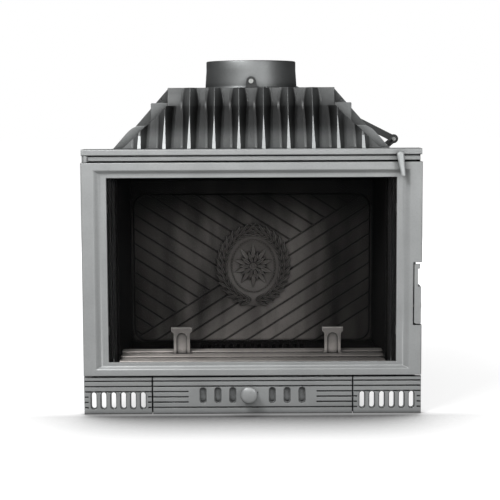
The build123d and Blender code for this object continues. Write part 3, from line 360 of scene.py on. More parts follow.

# the frame behind the door has the same paint as its face, sooted and painted black as shade where it faces
# the fire
framePaint = castIron(
    "graphite stove paint with a sooted inner edge", corner=0.0, cornerStart=0.35, cornerEnd=0.85, dustMm=12,
    soot=((308, 318), (500, 508)))

# the same paint, darker and thinner on the rough hood casting, with deep painted shade between the fins and
# below the crease
hoodSkin = {"cloudMm": 45, "speckMm": 3.2, "speckDepth": 0.09, "gritMm": 2.4, "waveStrength": 0.35,
            "gritStrength": 0.3}
hoodPaint = castIron(
    "dark stove paint on rough cast iron", light="#8c8e8e", dark="#7c7e7e", edge="#a2a5a5", wear=0.12,
    edgeMm=1.8, corner=0.02, cornerEnd=0.95, dustMm=55, grime=(562, 602, 1.0, 637.5, 0.72),
    rough=(0.36, 0.52), **hoodSkin)

# the side fins, which stand freer, have the same coat and less painted corner shade; painted light makes the
# foremost fins lighter and those further back darker
ribPaint = castIron(
    "dark stove paint on side fins", light="#868888", dark="#7a7c7c", edge="#b4b7b7", wear=0.7, edgeMm=1.6,
    corner=0.04, cornerEnd=0.92, dustMm=34, fade=(("Y", -128, -45, 1.3, 0.6),), **hoodSkin)

# a pale paint: on the fins' front edges it is a painted highlight where the light catches them, and it is the
# damper lever's paint
paleHighlightPaint = castIron(
    "pale paint, painted highlight on fin edges", light="#d2d5d5", dark="#c2c5c5", edge="#d5d8d8", wear=0.2, edgeMm=0.6,
    corner=0.6, cornerEnd=0.8, dustMm=6, rough=(0.34, 0.46), metallic=0.4, cloudMm=40, speckMm=3.2,
    speckDepth=0.06, waveStrength=0.1, gritStrength=0.1)

# the collar is turned and painted darker than the face
collarPaint = castIron(
    "dark stove paint on a turned casting", light="#969898", dark="#8c8e8e", edge="#b9bcbc", wear=0.5,
    corner=0.2, cornerEnd=0.85, dustMm=20, rough=(0.48, 0.56), metallic=1.0, cloudMm=60, speckMm=3.2,
    waveStrength=0.15, gritStrength=0.12)

# the parts behind the face: dull dark paint over an as-cast skin
bodySkin = {"wear": 0.6, "specular": 0.4, "speckMm": 4.0, "gritMm": 2.8, "waveStrength": 0.5,
            "gritStrength": 0.5}
bodyPaint = castIron(
    "dull dark paint on as-cast iron", light="#4b4c4c", dark="#3d3e3e", edge="#6c6e6e", corner=0.4,
    cornerEnd=0.85, dustMm=16, rough=(0.55, 0.75), metallic=0.15, cloudMm=60, speckDepth=0.14, **bodySkin)

# the walls of the body: the same dull paint in a lighter copy, painted light for the sides that the face's
# overhang shades;
# the side walls are black with soot and painted shade on the ends that face the fire
shellLook = {**bodySkin, "light": "#7f8181", "dark": "#6d6f6f", "edge": "#9a9c9c", "edgeMm": 1.6,
             "corner": 0.35, "dustMm": 24, "rough": (0.5, 0.7), "metallic": 0.25, "cloudMm": 90,
             "speckDepth": 0.12}
shellPaint = castIron("dull paint on as-cast iron, lightened as painted light", **shellLook)
wallPaint = castIron("thin grey paint with sooted ends", soot=((289.3, 290.7), (540, 548)), **shellLook)

# the shutter behind the drawer's slots: galvanised sheet, clean and grey
zincSheet = castIron(
    "galvanised sheet", light="#9c9e9e", dark="#8c8e8e", edge="#d2d4d4", wear=0.4, edgeMm=0.6, corner=0.05,
    cornerStart=0.32, cornerEnd=0.62, dustMm=9, rough=(0.4, 0.5), metallic=0.2, cloudMm=30, speckMm=3.0,
    gritMm=2.0, waveStrength=0.05, gritStrength=0.05)

# the sill and the log guards catch the light and have a brown tinge from heat; painted light makes the sill
# brighter on the left and darker on the right; the guards are darker towards the top, and their rims are
# rubbed bright, partly as a painted highlight
brownSkin = {"metallic": 0.3, "gritMm": 2.4, "waveStrength": 0.3, "gritStrength": 0.3}
guardIron = castIron(
    "browned cast iron, sooted at the top", light="#b4afab", dark="#9a9591", edge="#dcd8d3", wear=1.0,
    edgeMm=2.0, corner=0.0, cornerStart=0.45, cornerEnd=0.95, dustMm=12, rough=(0.4, 0.55), cloudMm=40,
    speckDepth=0.1, fade=(("Z", 112, 152, 1.15, 0.45),), **brownSkin)
sillIron = castIron(
    "heat-browned cast iron", light="#a8a39f", dark="#8e8985", edge="#c4c0bb", wear=0.9, corner=0.02,
    cornerEnd=0.88, dustMm=9, rough=(0.3, 0.42), cloudMm=60, speckDepth=0.08,
    fade=(("X", -285, 285, 1.85, 0.5),), **brownSkin)

# flame-side linings, black with soot and matt, and darker still as painted shade; the same black stands in
# for shade on the ledge behind the door's gaps and on the hearth plate and the grate
sootedIron = castIron(
    "sooted cast iron", light="#121111", dark="#0c0b0b", edge="#4a4744", wear=0.4, edgeMm=1.2, corner=0.3,
    cornerEnd=0.85, dustMm=30, rough=(0.7, 0.9), metallic=0.0, specular=0.06, cloudMm=40, speckDepth=0.16,
    gritMm=2.4, waveStrength=0.5, gritStrength=0.5)

# the fireback: the same blackened iron, with painted highlights in long slanting bands, brighter towards the
# bottom and with painted shade towards the top and the sides
polishedSkin = {"corner": 0.0, "speckMm": 3.0, "speckDepth": 0.12, "waveStrength": 0.2, "gritStrength": 0.3}
firebackIron = castIron(
    "stove-polished iron with painted highlight bands", light="#8e8985", dark="#2c2a29", edge="#8f8b87", wear=0.5,
    edgeMm=1.0, cornerStart=0.6, dustMm=9, rough=(0.42, 0.6), metallic=0.15, specular=0.18, span=(0.38, 0.62),
    cloudMm=130, stretch=(1.0, 1.0, 0.22), lean=(0.0, math.radians(-28), 0.0), shift=(0.03, 0, 0.1),
    fade=(("Z", 120, 260, 1.25, 0.95), ("Z", 350, 450, 1.0, 0.1), ("X", 30, 285, 0.95, 0.25),
          ("X", -285, -70, 0.15, 1.0)), **polishedSkin)

# the wreath's raised leaves are rubbed bright on their ridges, partly as a painted highlight, and painted
# shade makes them black in between
wreathIron = castIron(
    "stove-polished iron, rubbed on raised work", light="#7c7875", dark="#686461", edge="#c0bcb7", wear=1.0,
    edgeMm=1.2, cornerStart=0.5, cornerEnd=0.92, dustMm=8, rough=(0.4, 0.55), metallic=0.2, specular=0.25,
    cloudMm=60, **polishedSkin)


def bareSteel(name, bright, stained, roughness):
    # Turned or drawn steel: a fine grain of some 1.6 mm and a few dull stains of some 14 mm.
    material, tree, spots = startMaterial(name)
    grain = noise(tree, spots, 1.6, 4.0, 0.7)
    stain = noise(tree, spots, 14, 4.0, 0.6)
    surface(tree, {"Base Color": ramp(tree, stain, (0.35, 0.6), linear(stained), linear(bright)),
                   "Metallic": 1.0, "Roughness": ranged(tree, grain, noiseSpan, roughness),
                   "Normal": bumped(tree, grain, 0.12, 0.2, Normal=roundedNormal(tree, 0.6))})
    return material


# small parts plated with zinc, and rods and pins that the heat has darkened
platedSteel = bareSteel("zinc-plated steel", "#b9bab8", "#8f918f", (0.28, 0.45))
darkSteel = bareSteel("heat-darkened steel", "#77777a", "#4f4c49", (0.38, 0.55))


def ceramicGlass():
    # Clear ceramic glass: rolled, so it has a faint wide ripple, and a light haze of ash.
    material, tree, spots = startMaterial("clear ceramic stove glass")
    ripple = noise(tree, spots, 60, 1.0)
    haze = noise(tree, spots, 25, 5.0)
    surface(tree, {"Base Color": linear("#101112"), "IOR": 1.5, "Alpha": 0.05,
                   "Roughness": ranged(tree, haze, (0.4, 0.7), (0.03, 0.09)),
                   "Normal": bumped(tree, ripple, 0.02, 0.5)})
    return material


def glassFibreRope():
    # Knitted glass fibre: stitches about 3 mm apart, with fine hairs.
    material, tree, spots = startMaterial("knitted glass-fibre rope")
    stitch = addNode(tree, "TexVoronoi", {"Vector": spots, "Scale": 1000 / 3.2}).outputs["Distance"]
    knit = bumped(tree, stitch, 0.7, 0.8, invert=True)
    surface(tree, {"Base Color": ramp(tree, stitch, (0.1, 0.6), linear("#8c8b87"), linear("#55544f")),
                   "Roughness": 0.9, "Sheen Weight": 0.2,
                   "Normal": bumped(tree, noise(tree, spots, 1.6, 3.0, 0.7), 0.3, 0.3, Normal=knit)})
    return material


stoveGlass = ceramicGlass()
sealRope = glassFibreRope()
print("materials ready")


# Door

door = {"half": 350, "low": 81.4, "high": 523, "depth": 22, "band": 24, "slope": 17, "rim": 11, "rimDrop": 7,
        "rimThick": 5, "railLow": 27.5, "railHigh": 31.6, "outerRound": 2.6, "hollowSteps": 12,
        "hollowEase": 0.85, "rimFlat": (0.012, 0.985), "rimRound": 0.8, "pocket": 8,
        "notch": ((332, 360), (-5, 30), (186, 316)), "ropeIn": 25, "ropeInEnds": 10, "rope": 4.7,
        "ropeCorner": 14, "ropeSides": 12, "ropeSteps": 8, "grooveCorners": (19, 9), "grooveSteps": 6,
        "grooveFloor": 17.3, "grooveOut": 26}


def ropeLine(outward, corner, steps):
    # the rope's line on the back of the door, or a line this far outside it
    half = door["half"] - door["ropeIn"]
    middle = (door["low"] + door["high"]) / 2
    tall = (door["high"] - door["low"]) / 2 - door["ropeInEnds"]
    return roundedOutline(half + outward, tall + outward, corner, steps, middle)


def doorFrame():
    # Each step of the profile is (share of the way in from the edge, depth); every step is one loop
    # round the door, so the corners are mitred as on the casting.
    stile = door["band"] + door["slope"] + door["rim"]
    bandEnd = door["band"] / stile
    slopeEnd = (door["band"] + door["slope"]) / stile
    edge, drop = door["outerRound"], door["rimDrop"]
    steps = [(0, door["depth"]), (0, edge)]
    steps += [(edge / stile * (1 - math.cos(a)), edge * (1 - math.sin(a)))
              for a in (math.radians(d) for d in (22, 45, 68, 90))]
    for part in range(door["hollowSteps"] + 1):
        # the band rolls over into a hollow and the hollow runs out flat into the sunk rim
        across = part / door["hollowSteps"]
        steps.append((bandEnd + (slopeEnd - bandEnd) * across,
                      drop * (1 - math.cos(math.pi * across ** door["hollowEase"])) / 2))
    steps += [(slopeEnd + door["rimFlat"][0], drop), (door["rimFlat"][1], drop), (1, drop + door["rimRound"])]
    back = drop + door["rimThick"]
    outward = 1 - door["pocket"] / stile
    steps += [(1, back), (outward, back), (outward, door["depth"]), (0, door["depth"])]
    loops = []
    for share, y in steps:
        half = door["half"] - share * stile
        low = door["low"] + share * door["railLow"]
        high = door["high"] - share * door["railHigh"]
        loops.append([(-half, y, low), (half, y, low), (half, y, high), (-half, y, high)])
    piece = drawn("door_casting", stackLoops, loops, False)
    outer, inner = [ropeLine(way * door["rope"], corner, door["grooveSteps"])
                    for way, corner in zip((1, -1), door["grooveCorners"])]
    deep, out = door["grooveFloor"], door["grooveOut"]
    rows = [atDepth(*row)
            for row in ((outer, deep), (outer, out), (inner, out), (inner, deep), (outer, deep))]
    return carve(piece, [drawn("notch cutter", box, *door["notch"]),
                         drawn("rope cutter", stackLoops, rows, False)])


def sealRing():
    rows = []
    for number in range(door["ropeSides"] + 1):
        turn = math.tau * number / door["ropeSides"]
        outward = door["rope"] * math.cos(turn)
        y = door["depth"] + door["rope"] * math.sin(turn)
        rows.append(atDepth(ropeLine(outward, door["ropeCorner"] + outward, door["ropeSteps"]), y))
    return drawn("seal_rope", stackLoops, rows, False)


place(doorFrame(), facePaint, "door", ["door_frame"], edge=0.5, segments=2)

# a dark ledge behind the gaps above the door, out to the frame's right end: a black sheet that stands in for
# the shade in these gaps
ledge = {"x": (326, 348.5), "y": (30, 33), "z": (521.5, 546)}
place(drawn("frame_corner_ledge", box, *ledge.values()), sootedIron, "carcass", edge=0.3)

place(sealRing(), sealRope, "door", ["door_rope"], angle=80)
print("door built")


# Plinth

plinth = {"low": 0.6, "high": 78, "front": 4, "depth": 12, "edge": 1.3, "panelHalf": 206.8, "panelGap": 2.4,
          "grooves": 6, "grooveTop": 70, "groovePitch": 11.1, "groove": 3, "grooveDeep": 3,
          "sideWhole": (0, 1, 2), "centreWhole": (0, 1, 5), "slots": 6, "slotPitch": 20.5, "slotWide": 10,
          "slotEnds": (12, 46), "slotFirst": 20, "tick": 9, "centreHalf": 133, "centreSlots": 3,
          "centreFirst": 41, "centrePitch": 30.9, "centreWide": 11, "centreEnds": (24, 55), "rimWide": 1.8,
          "rimDeep": 3, "cutOut": 8, "cutThrough": 30, "grooveOut": 4, "grooveOver": 2,
          "seamStrip": (-4, 9), "seamDepth": (16.4, 18), "seamEnds": (2, 76)}


def slotCutter(bm, x, width, ends, rim, deep):
    # an upright slot with round ends; rim makes it that much larger all round
    radius = width / 2 + rim
    outline = roundedOutline(radius, (ends[1] - ends[0]) / 2 + rim, radius - 0.01, steps=7)
    plateFrom(bm, outline, deep, upright(x, plinth["front"] - plinth["cutOut"], (ends[0] + ends[1]) / 2))


def grooveCutter(bm, x, z):
    # a round-bottomed groove, open to the front
    radius = plinth["groove"] / 2
    bottom = plinth["front"] + plinth["grooveDeep"]
    mouth = plinth["front"] - plinth["grooveOut"]
    bow = arc(bottom - radius, z, radius, range(-90, 91, 15))
    plateFrom(bm, [(mouth, z - radius)] + bow + [(mouth, z + radius)], x[1] - x[0], sideways(x[0]))


def panelBlank(bm, x):
    front = plinth["front"]
    box(bm, x, (front, front + plinth["depth"]), (plinth["low"], plinth["high"]))
    edges = [e for e in bm.edges if all(v.co.y < front + 1 for v in e.verts)]
    bmesh.ops.bevel(bm, geom=edges, offset=plinth["edge"], segments=3, affect="EDGES", profile=0.5,
                    material=-1)


def plinthPanel(name, x, grooves, slots, extra=()):
    # slots have a sunk step round them, where the casting draws in
    piece = drawn(name, panelBlank, x)
    cutters = [drawn("cutter", grooveCutter, *groove) for groove in grooves]
    cuts = ((0, plinth["cutThrough"]), (plinth["rimWide"], plinth["cutOut"] + plinth["rimDeep"]))
    cutters += [drawn("cutter", slotCutter, *slot, rim, deep) for slot in slots for rim, deep in cuts]
    cutters += [drawn("cutter", box, *ends) for ends in extra]
    return carve(piece, cutters)


def grooveRows(left, right, stop, start, whole):
    # the grooves of a panel: some run all across, the others stop beside the slots and start after them
    left, right = left - plinth["grooveOver"], right + plinth["grooveOver"]
    rows = []
    for n in range(plinth["grooves"]):
        z = plinth["grooveTop"] - plinth["groovePitch"] * n
        rows += [(x, z) for x in ([(left, right)] if n in whole else [(left, stop), (start, right)])]
    return rows


def sideGrille(name, side):
    inner, outer = plinth["panelHalf"] + plinth["panelGap"], door["half"]
    places = [outer - plinth["slotFirst"] - plinth["slotPitch"] * n for n in range(plinth["slots"])]
    grooves = grooveRows(inner, outer, places[-1] - plinth["slotPitch"] / 2, outer - plinth["tick"],
                         plinth["sideWhole"])
    if side < 0:
        grooves = [((-x[1], -x[0]), z) for x, z in grooves]
    slots = [(side * x, plinth["slotWide"], plinth["slotEnds"]) for x in places]
    return plinthPanel(name, sorted((side * inner, side * outer)), grooves, slots)


for side, word in ((-1, "left"), (1, "right")):
    place(sideGrille("plinth_casting_" + word, side), plinthPaint, "carcass",
          ["plinth_grille_" + word], edge=0.5, segments=2, angle=50)

# a strip behind each joint of the plinth, so that no light comes through
seams = [(sorted(side * (plinth["panelHalf"] + out) for out in plinth["seamStrip"]), plinth["seamDepth"],
          plinth["seamEnds"]) for side in (-1, 1)]
place(drawn("plinth_seam_strips", boxes, seams), bodyPaint, "carcass", edge=0.3)

# the knob's profile is (distance from its axis, y), from the face back to the end of the stem
knob = {"x": -7, "z": 43, "stem": 3.4, "way": 15.45, "wayDepth": (-5, 30), "steps": 56,
        "profile": ((0, -21), (8, -21), (11.5, -20.5), (15.4, -19.8), (17, -18.6), (17.8, -16.8),
                    (18, -14.5), (18, -12), (17.4, -9.6), (15.6, -7.8), (13, -7), (8, -7), (7, -6.3),
                    (6.2, -4.8), (6, 2.8), (6.6, 3.7), (3, 3.7), (3, 18.3), (0, 18.3))}
guides = {"x": (-148, 148), "y": (16, 20.6), "z": ((15.5, 20.1), (58.9, 63.5))}


def drawerPanel():
    half, centre = plinth["panelHalf"], plinth["centreHalf"]
    grooves = grooveRows(-half, half, -centre, centre, plinth["centreWhole"])
    slots = [(side * (plinth["centreFirst"] + plinth["centrePitch"] * n), plinth["centreWide"],
              plinth["centreEnds"]) for side in (-1, 1) for n in range(plinth["centreSlots"])]
    stemWay = ((knob["x"] - knob["stem"], knob["x"] + knob["way"] + knob["stem"]), knob["wayDepth"],
               (knob["z"] - knob["stem"], knob["z"] + knob["stem"]))
    return plinthPanel("drawer_casting", (-half, half), grooves, slots, [stemWay])


place(drawerPanel(), plinthPaint, "ash_drawer", ["drawer_front"], edge=0.5, segments=2, angle=50)
place(drawn("shutter_guides", boxes, [(guides["x"], guides["y"], z) for z in guides["z"]]),
      plinthPaint, "ash_drawer", edge=0.4, segments=2)
place(drawn("air_knob_casting", spinProfile, [(knob["x"] + out, y, knob["z"]) for out, y in knob["profile"]],
            (knob["x"], 0, knob["z"]), (0, 1, 0), knob["steps"]),
      plinthPaint, "air_control", ["air_knob"], angle=50)
print("plinth built")


# Hood and flue collar

# half, front and back are given at the foot, the crease and the top
hood = {"seat": 550, "base": 552, "crease": 639, "top": 677, "half": (266, 177, 177), "front": (48, 121, 125),
        "back": (422, 335, 335), "wall": 7, "footWide": 4, "sideEdge": (290, 178)}
fin = {"count": 5, "pitch": 51.4, "nose": (24, 106), "foot": 4, "tip": 0.85, "bend": 618,
       "draft": (0.40, 0.62), "round": ((0.7, 0), (0.93, 0.25), (1, 0.9)), "fillet": 5, "filletDeep": 0.98,
       "filletSteps": (0.3, 0.6, 0.85, 1.0), "filletWide": (0.9, 1.7), "filletPast": (1.2, 4),
       "levels": (550, 552, 562, 574, 586, 600, 618, 628, 639, 650, 664, 677)}
noseHighlight = {"levels": (550, 552, 575, 596, 610, 618), "tip": 0.5, "inside": 0.25, "out": 0.12, "deep": 0.9,
          "taper": 0.9, "belowHip": 9}
# the profile's rows are (radius, how far outside it, height, how far above it)
collar = {"y": 235, "foot": 100, "rim": 97.7, "bore": 89.7, "low": 677, "high": 735,
          "profile": (("bore", 0, "low", 0), ("foot", 1.8, "low", 0), ("foot", 0.7, "low", 0.8),
                      ("foot", 0, "low", 2.4), ("foot", -0.1, "low", 6), ("rim", 0, "high", -20),
                      ("rim", 0, "high", -2.2), ("rim", -0.5, "high", -0.9), ("rim", -1.6, "high", 0),
                      ("bore", 1.2, "high", 0), ("bore", 0.3, "high", -0.4), ("bore", 0, "high", -1.2),
                      ("bore", 0, "low", 0)),
          "lugHalf": 10, "lugDeep": 10, "lugInto": 8, "lugLow": 682, "lugFlare": (0.8, 1.6),
          "backBoss": (3, 20), "axis": 690.6, "hole": 5.06, "holeEnds": (100, 370), "steps": 128,
          "lidSteps": 96}


def along(z, low, high, atLow, atHigh):
    # a size that runs straight from atLow to atHigh between two heights, and stays atLow below them
    return atLow + (atHigh - atLow) * (max(z, low) - low) / (high - low)


def hoodAt(what, z):
    foot, crease, top = hood[what]
    if z >= hood["crease"]:
        return along(z, hood["crease"], hood["top"], crease, top)
    return along(z, hood["base"], hood["crease"], foot, crease)


def finNose(z):
    return along(z, hood["base"], hood["top"], *fin["nose"])


def finHalf(z, tip):
    return along(z, hood["base"], fin["bend"], fin["foot"], tip)


def finLoop(x, z):
    # one level of a fin: rounded nose, drafted flanks and a fillet where it meets the wall
    nose = finNose(z)
    half = max(fin["tip"], finHalf(z, fin["tip"]))
    deep = hoodAt("front", z) - nose
    r, (wide, end) = fin["fillet"], fin["filletWide"]
    straight = deep - r
    draft = along(z, hood["crease"], hood["top"], *fin["draft"])
    root = half + draft * straight
    side = [(half * share, y) for share, y in fin["round"]]
    side += [((root + half) / 2, straight / 2), (root, straight)]
    side += [(root + draft * r * t + wide * r * t ** 3,
              straight + r * math.sin(t * math.pi / 2) * fin["filletDeep"]) for t in fin["filletSteps"]]
    side += [(root + r * end, deep + past) for past in fin["filletPast"]]
    return [(x + out, nose + y, z) for out, y in side] + [(x - out, nose + y, z) for out, y in reversed(side)]


finPlaces = [(side, side * fin["pitch"] * (n + 0.5)) for side in (-1, 1) for n in range(fin["count"])]


def hoodFins():
    bm = bmesh.new()
    base, crease = hood["base"], hood["crease"]
    footHalf, topHalf = hood["half"][:2]
    hip = Vector((crease - base, 0, footHalf - topHalf)).normalized()
    for side, x in finPlaces:
        one = bmesh.new()
        outer = abs(x) > topHalf
        stackLoops(one, [finLoop(x, z) for z in fin["levels"] if not outer or z <= crease])
        if outer:
            # the two outer fins run out along the hip of the hood
            got = bmesh.ops.bisect_plane(
                one, geom=one.verts[:] + one.edges[:] + one.faces[:], plane_co=(side * topHalf, 0, crease),
                plane_no=(side * hip.x, 0, hip.z), clear_outer=True)["geom_cut"]
            bmesh.ops.contextual_create(one, geom=[g for g in got if isinstance(g, bmesh.types.BMEdge)])
        scratch = bpy.data.meshes.new("fin")
        one.to_mesh(scratch)
        one.free()
        bm.from_mesh(scratch)
        bpy.data.meshes.remove(scratch)
    return meshObject(bm, "hood_fins")


def finEdges(bm):
    # a painted highlight on the front edge of each fin: a pale wedge that runs out into a fine line
    footHalf, topHalf = hood["half"][:2]
    for _, x in finPlaces:
        high = hood["top"]
        if abs(x) > topHalf:
            high = along(abs(x), topHalf, footHalf, hood["crease"], hood["base"]) - noseHighlight["belowHip"]
        loops = []
        for z in (min(level, high) for level in noseHighlight["levels"]):
            half = finHalf(z, noseHighlight["tip"]) - noseHighlight["inside"]
            front, back = finNose(z) - noseHighlight["out"], finNose(z) + noseHighlight["deep"]
            thin = half * noseHighlight["taper"]
            loops.append([(x - half, front, z), (x + half, front, z), (x + thin, back, z),
                          (x - thin, back, z)])
        stackLoops(bm, loops)


def rectangle(half, front, back, z):
    return [(-half, front, z), (half, front, z), (half, back, z), (-half, back, z)]


def wallRing(at, inset, z):
    # the hood's outline as it is at one height, this far inside its outer face, drawn at height z
    return rectangle(hoodAt("half", at) - inset, hoodAt("front", at) + inset, hoodAt("back", at) - inset, z)


def hoodShell():
    wide, wall = hood["footWide"], hood["wall"]
    seat, base, crease, top = hood["seat"], hood["base"], hood["crease"], hood["top"]
    loops = [rectangle(hood["half"][0] + wide, hood["front"][0] - wide, hood["back"][0], z)
             for z in (seat, base)]
    loops += [wallRing(z, 0, z) for z in (base, crease, top)]
    loops += [wallRing(z, wall, z) for z in (top, crease, base)]
    loops += [wallRing(base, wall, seat), loops[0]]
    return drawn("hood_walls", stackLoops, loops, False)


def hoodLid(bm):
    # the flat top with the round hole that the collar stands over
    top, wall = hood["top"], hood["wall"]
    hole = bmesh.ops.create_circle(bm, segments=collar["lidSteps"], radius=collar["bore"])["verts"]
    bmesh.ops.translate(bm, vec=(0, collar["y"], top), verts=hole)
    edges = list({e for v in hole for e in v.link_edges}) + loopOf(bm, wallRing(top, wall, top))
    bmesh.ops.triangle_fill(bm, use_beauty=True, use_dissolve=False, edges=edges)
    bmesh.ops.solidify(bm, geom=bm.faces[:], thickness=wall)
    low = min(v.co.z for v in bm.verts)
    bmesh.ops.translate(bm, vec=(0, 0, top - wall - low), verts=bm.verts[:])


# the low fin's round top is (height at which the side edge is taken, how far inside it, height)
ribs = {"thick": 7, "lowY": 86, "lowTop": (597, 597.4), "middleY": 127, "middleFoot": (601, 4),
        "lowBow": ((582, 0, 582), (588, 0.8, 588), (593, 3, 592.8), (597, 7, 596.4), (600, 12, 597.4)),
        "middleOut": 213, "middleTop": (643.4, 1.5, 645), "tallY": (177, 227, 277, 327), "tallFoot": 262,
        "inside": 175, "rod": (193.5, 650.5), "rodEnds": (140, 420), "rodHole": 3.4}


def sideEdge(z):
    return along(z, hood["seat"], hood["top"], *hood["sideEdge"])


def sideFin(bm, side, y, points):
    plateFrom(bm, [(side * x, z) for x, z in points], ribs["thick"], upright(0, y - ribs["thick"] / 2, 0))


def sideFins():
    seat, crease, top = hood["seat"], hood["crease"], hood["top"]
    foot, inside, out = ribs["middleFoot"][0], ribs["inside"], ribs["middleOut"]
    shoulder, cut, flat = ribs["middleTop"]
    first = [(hood["half"][0], seat), (sideEdge(seat), seat)]
    first += [(sideEdge(at) - inward, z) for at, inward, z in ribs["lowBow"]]
    first.append((hoodAt("half", ribs["lowTop"][0]), ribs["lowTop"][1]))
    second = [(hoodAt("half", foot) - ribs["middleFoot"][1], foot), (out, foot), (out, shoulder),
              (out - cut, flat), (inside, flat), (inside, crease)]
    full = [(ribs["tallFoot"], seat), (sideEdge(seat), seat), (sideEdge(top), top), (inside, top),
            (inside, crease)]
    low, tall, holes = bmesh.new(), bmesh.new(), bmesh.new()
    for side in (-1, 1):
        sideFin(low, side, ribs["lowY"], first)
        sideFin(tall, side, ribs["middleY"], second)
        for y in ribs["tallY"]:
            sideFin(tall, side, y, full)
        start, end = [(side * ribs["rod"][0], y, ribs["rod"][1]) for y in ribs["rodEnds"]]
        tube(holes, start, end, ribs["rodHole"], sides=20)
    piece = meshObject(tall, "hood_side_fins")
    return meshObject(low, "hood_low_fins"), carve(piece, [meshObject(holes, "cutter")])


def flueCollar():
    low, y, axis, r = collar["low"], collar["y"], collar["axis"], collar["lugHalf"]
    profile = [(collar[radius] + out, y, collar[level] + up) for radius, out, level, up in collar["profile"]]
    ring = drawn("flue_collar_casting", spinProfile, profile, (0, y, 0), (0, 0, 1), collar["steps"])
    # the lug in front is an arch on a foot that widens a little, the boss at the back is round
    near, foot = collar["lugFlare"]
    arch = arc(0, axis, r, range(0, 181, 10))
    arch += [(-r - near, collar["lugLow"]), (-r - foot, low), (r + foot, low), (r + near, collar["lugLow"])]
    lugs = bmesh.new()
    front = y - collar["foot"] - collar["lugDeep"]
    plateFrom(lugs, arch, collar["lugDeep"] + collar["lugInto"], upright(0, front, 0))
    start, end = [(0, y + collar["bore"] + out, axis) for out in collar["backBoss"]]
    tube(lugs, start, end, r, sides=40)
    bosses = meshObject(lugs, "shaft_bosses")
    for piece in (bosses, ring):
        start, end = [(0, at, axis) for at in collar["holeEnds"]]
        carve(piece, [drawn("cutter", tube, start, end, collar["hole"])])
    return ring, bosses


place(hoodFins(), hoodPaint, "carcass", ["hood_front"], edge=0.6, segments=2, angle=50)
place(drawn("hood_fin_highlights", finEdges), paleHighlightPaint, "carcass", angle=30)
place(hoodShell(), hoodPaint, "carcass", ["hood_back"], edge=1.2)
lowFins, tallFins = sideFins()
place(lowFins, ribPaint, "carcass", edge=1.0)
place(tallFins, ribPaint, "carcass", ["hood_side_left", "hood_side_right"], edge=1.0)
place(drawn("hood_lid", hoodLid), hoodPaint, "carcass", ["hood_top"])
collarRing, collarBosses = flueCollar()
place(collarRing, collarPaint, "carcass", ["flue_collar"], angle=40)
place(collarBosses, bodyPaint, "carcass", edge=0.8)
print("hood built")


# Firebox: fireback with slanting iron planks and a wreath, stepped sill

fireback = {"x": 284, "low": 88, "high": 470, "front": 352, "back": 362, "border": 4, "fieldHalf": 275,
            "fieldLow": 93, "fieldHigh": 440, "fieldRadius": 34, "fieldSteps": 8, "plankInset": 4,
            "plankSlope": 32.5, "pitch": 28.5, "seam": 231, "along": range(1, 9), "groove": 3.8,
            "grooveDeep": 2.6, "crossFirst": 14.25, "crossing": range(-2, 20), "boss": 11, "bossIn": 50,
            "bossDepth": (361.5, 392)}


def linePlane(slope, distance):
    # a line across the fireback that climbs to the right, given by its square distance from the origin
    turn = math.radians(slope)
    square = Vector((-math.sin(turn), 0, math.cos(turn)))
    return square * distance, square


def sideOf(face, plane):
    spot, square = plane
    return (face.calc_center_median() - spot).dot(square)


def fieldOutline(inset):
    half, radius = fireback["fieldHalf"] - inset, fireback["fieldRadius"] - inset
    tall = (fireback["fieldHigh"] - fireback["fieldLow"]) / 2 - inset
    middle = (fireback["fieldHigh"] + fireback["fieldLow"]) / 2
    return roundedOutline(half, tall, radius, fireback["fieldSteps"], middle)


def planks(bm):
    # the field is cut along the edges of every groove; what lies in a groove goes, the rest is raised
    half, slope, pitch = fireback["groove"] / 2, fireback["plankSlope"], fireback["pitch"]
    bottom = fireback["front"] + fireback["grooveDeep"]
    ring = loopOf(bm, atDepth(fieldOutline(fireback["plankInset"]), bottom))
    bmesh.ops.contextual_create(bm, geom=ring)

    def groove(lean, distance, chosen):
        for offset in (-half, half):
            faces = [f for f in bm.faces if chosen(f)]
            around = list({e for f in faces for e in f.edges}) + list({v for f in faces for v in f.verts})
            spot, square = linePlane(lean, distance + offset)
            bmesh.ops.bisect_plane(bm, geom=faces + around, plane_co=spot, plane_no=square)
        return linePlane(lean, distance)

    seam = groove(slope, fireback["seam"], lambda f: True)
    below = [groove(slope, fireback["seam"] - pitch * number, lambda f: sideOf(f, seam) < -half)
             for number in fireback["along"]]
    above = [groove(-slope, fireback["crossFirst"] + pitch * number, lambda f: sideOf(f, seam) > half)
             for number in fireback["crossing"]]
    hollow = []
    for face in bm.faces:
        lines = [seam] + (below if sideOf(face, seam) < 0 else above)
        if any(abs(sideOf(face, line)) < half for line in lines):
            hollow.append(face)
    bmesh.ops.delete(bm, geom=hollow, context="FACES")
    made = bmesh.ops.extrude_discrete_faces(bm, faces=bm.faces[:])["faces"]
    raised = list({v for f in made for v in f.verts})
    bmesh.ops.translate(bm, vec=(0, -fireback["grooveDeep"], 0), verts=raised)


def firebackPlate():
    f = fireback
    face = f["front"] - f["border"]
    rows = [((-f["x"], f["x"]), (face, f["back"]), (f["low"], f["high"]))]
    half, inward = f["boss"], f["bossIn"]
    rows += [((x - half, x + half), f["bossDepth"], (z - half, z + half))
             for x in (inward - f["x"], f["x"] - inward) for z in (f["low"] + inward, f["high"] - inward)]
    # (how far inside the field's outline, depth)
    steps = [(0, face - 2), (0, face), (0.6, face + 2), (2.2, f["front"] + 0.6),
             (3.4, f["front"] + f["grooveDeep"])]
    field = [atDepth(fieldOutline(inset), y) for inset, y in steps]
    return carve(drawn("fireback_casting", boxes, rows), [drawn("field cutter", stackLoops, field)])


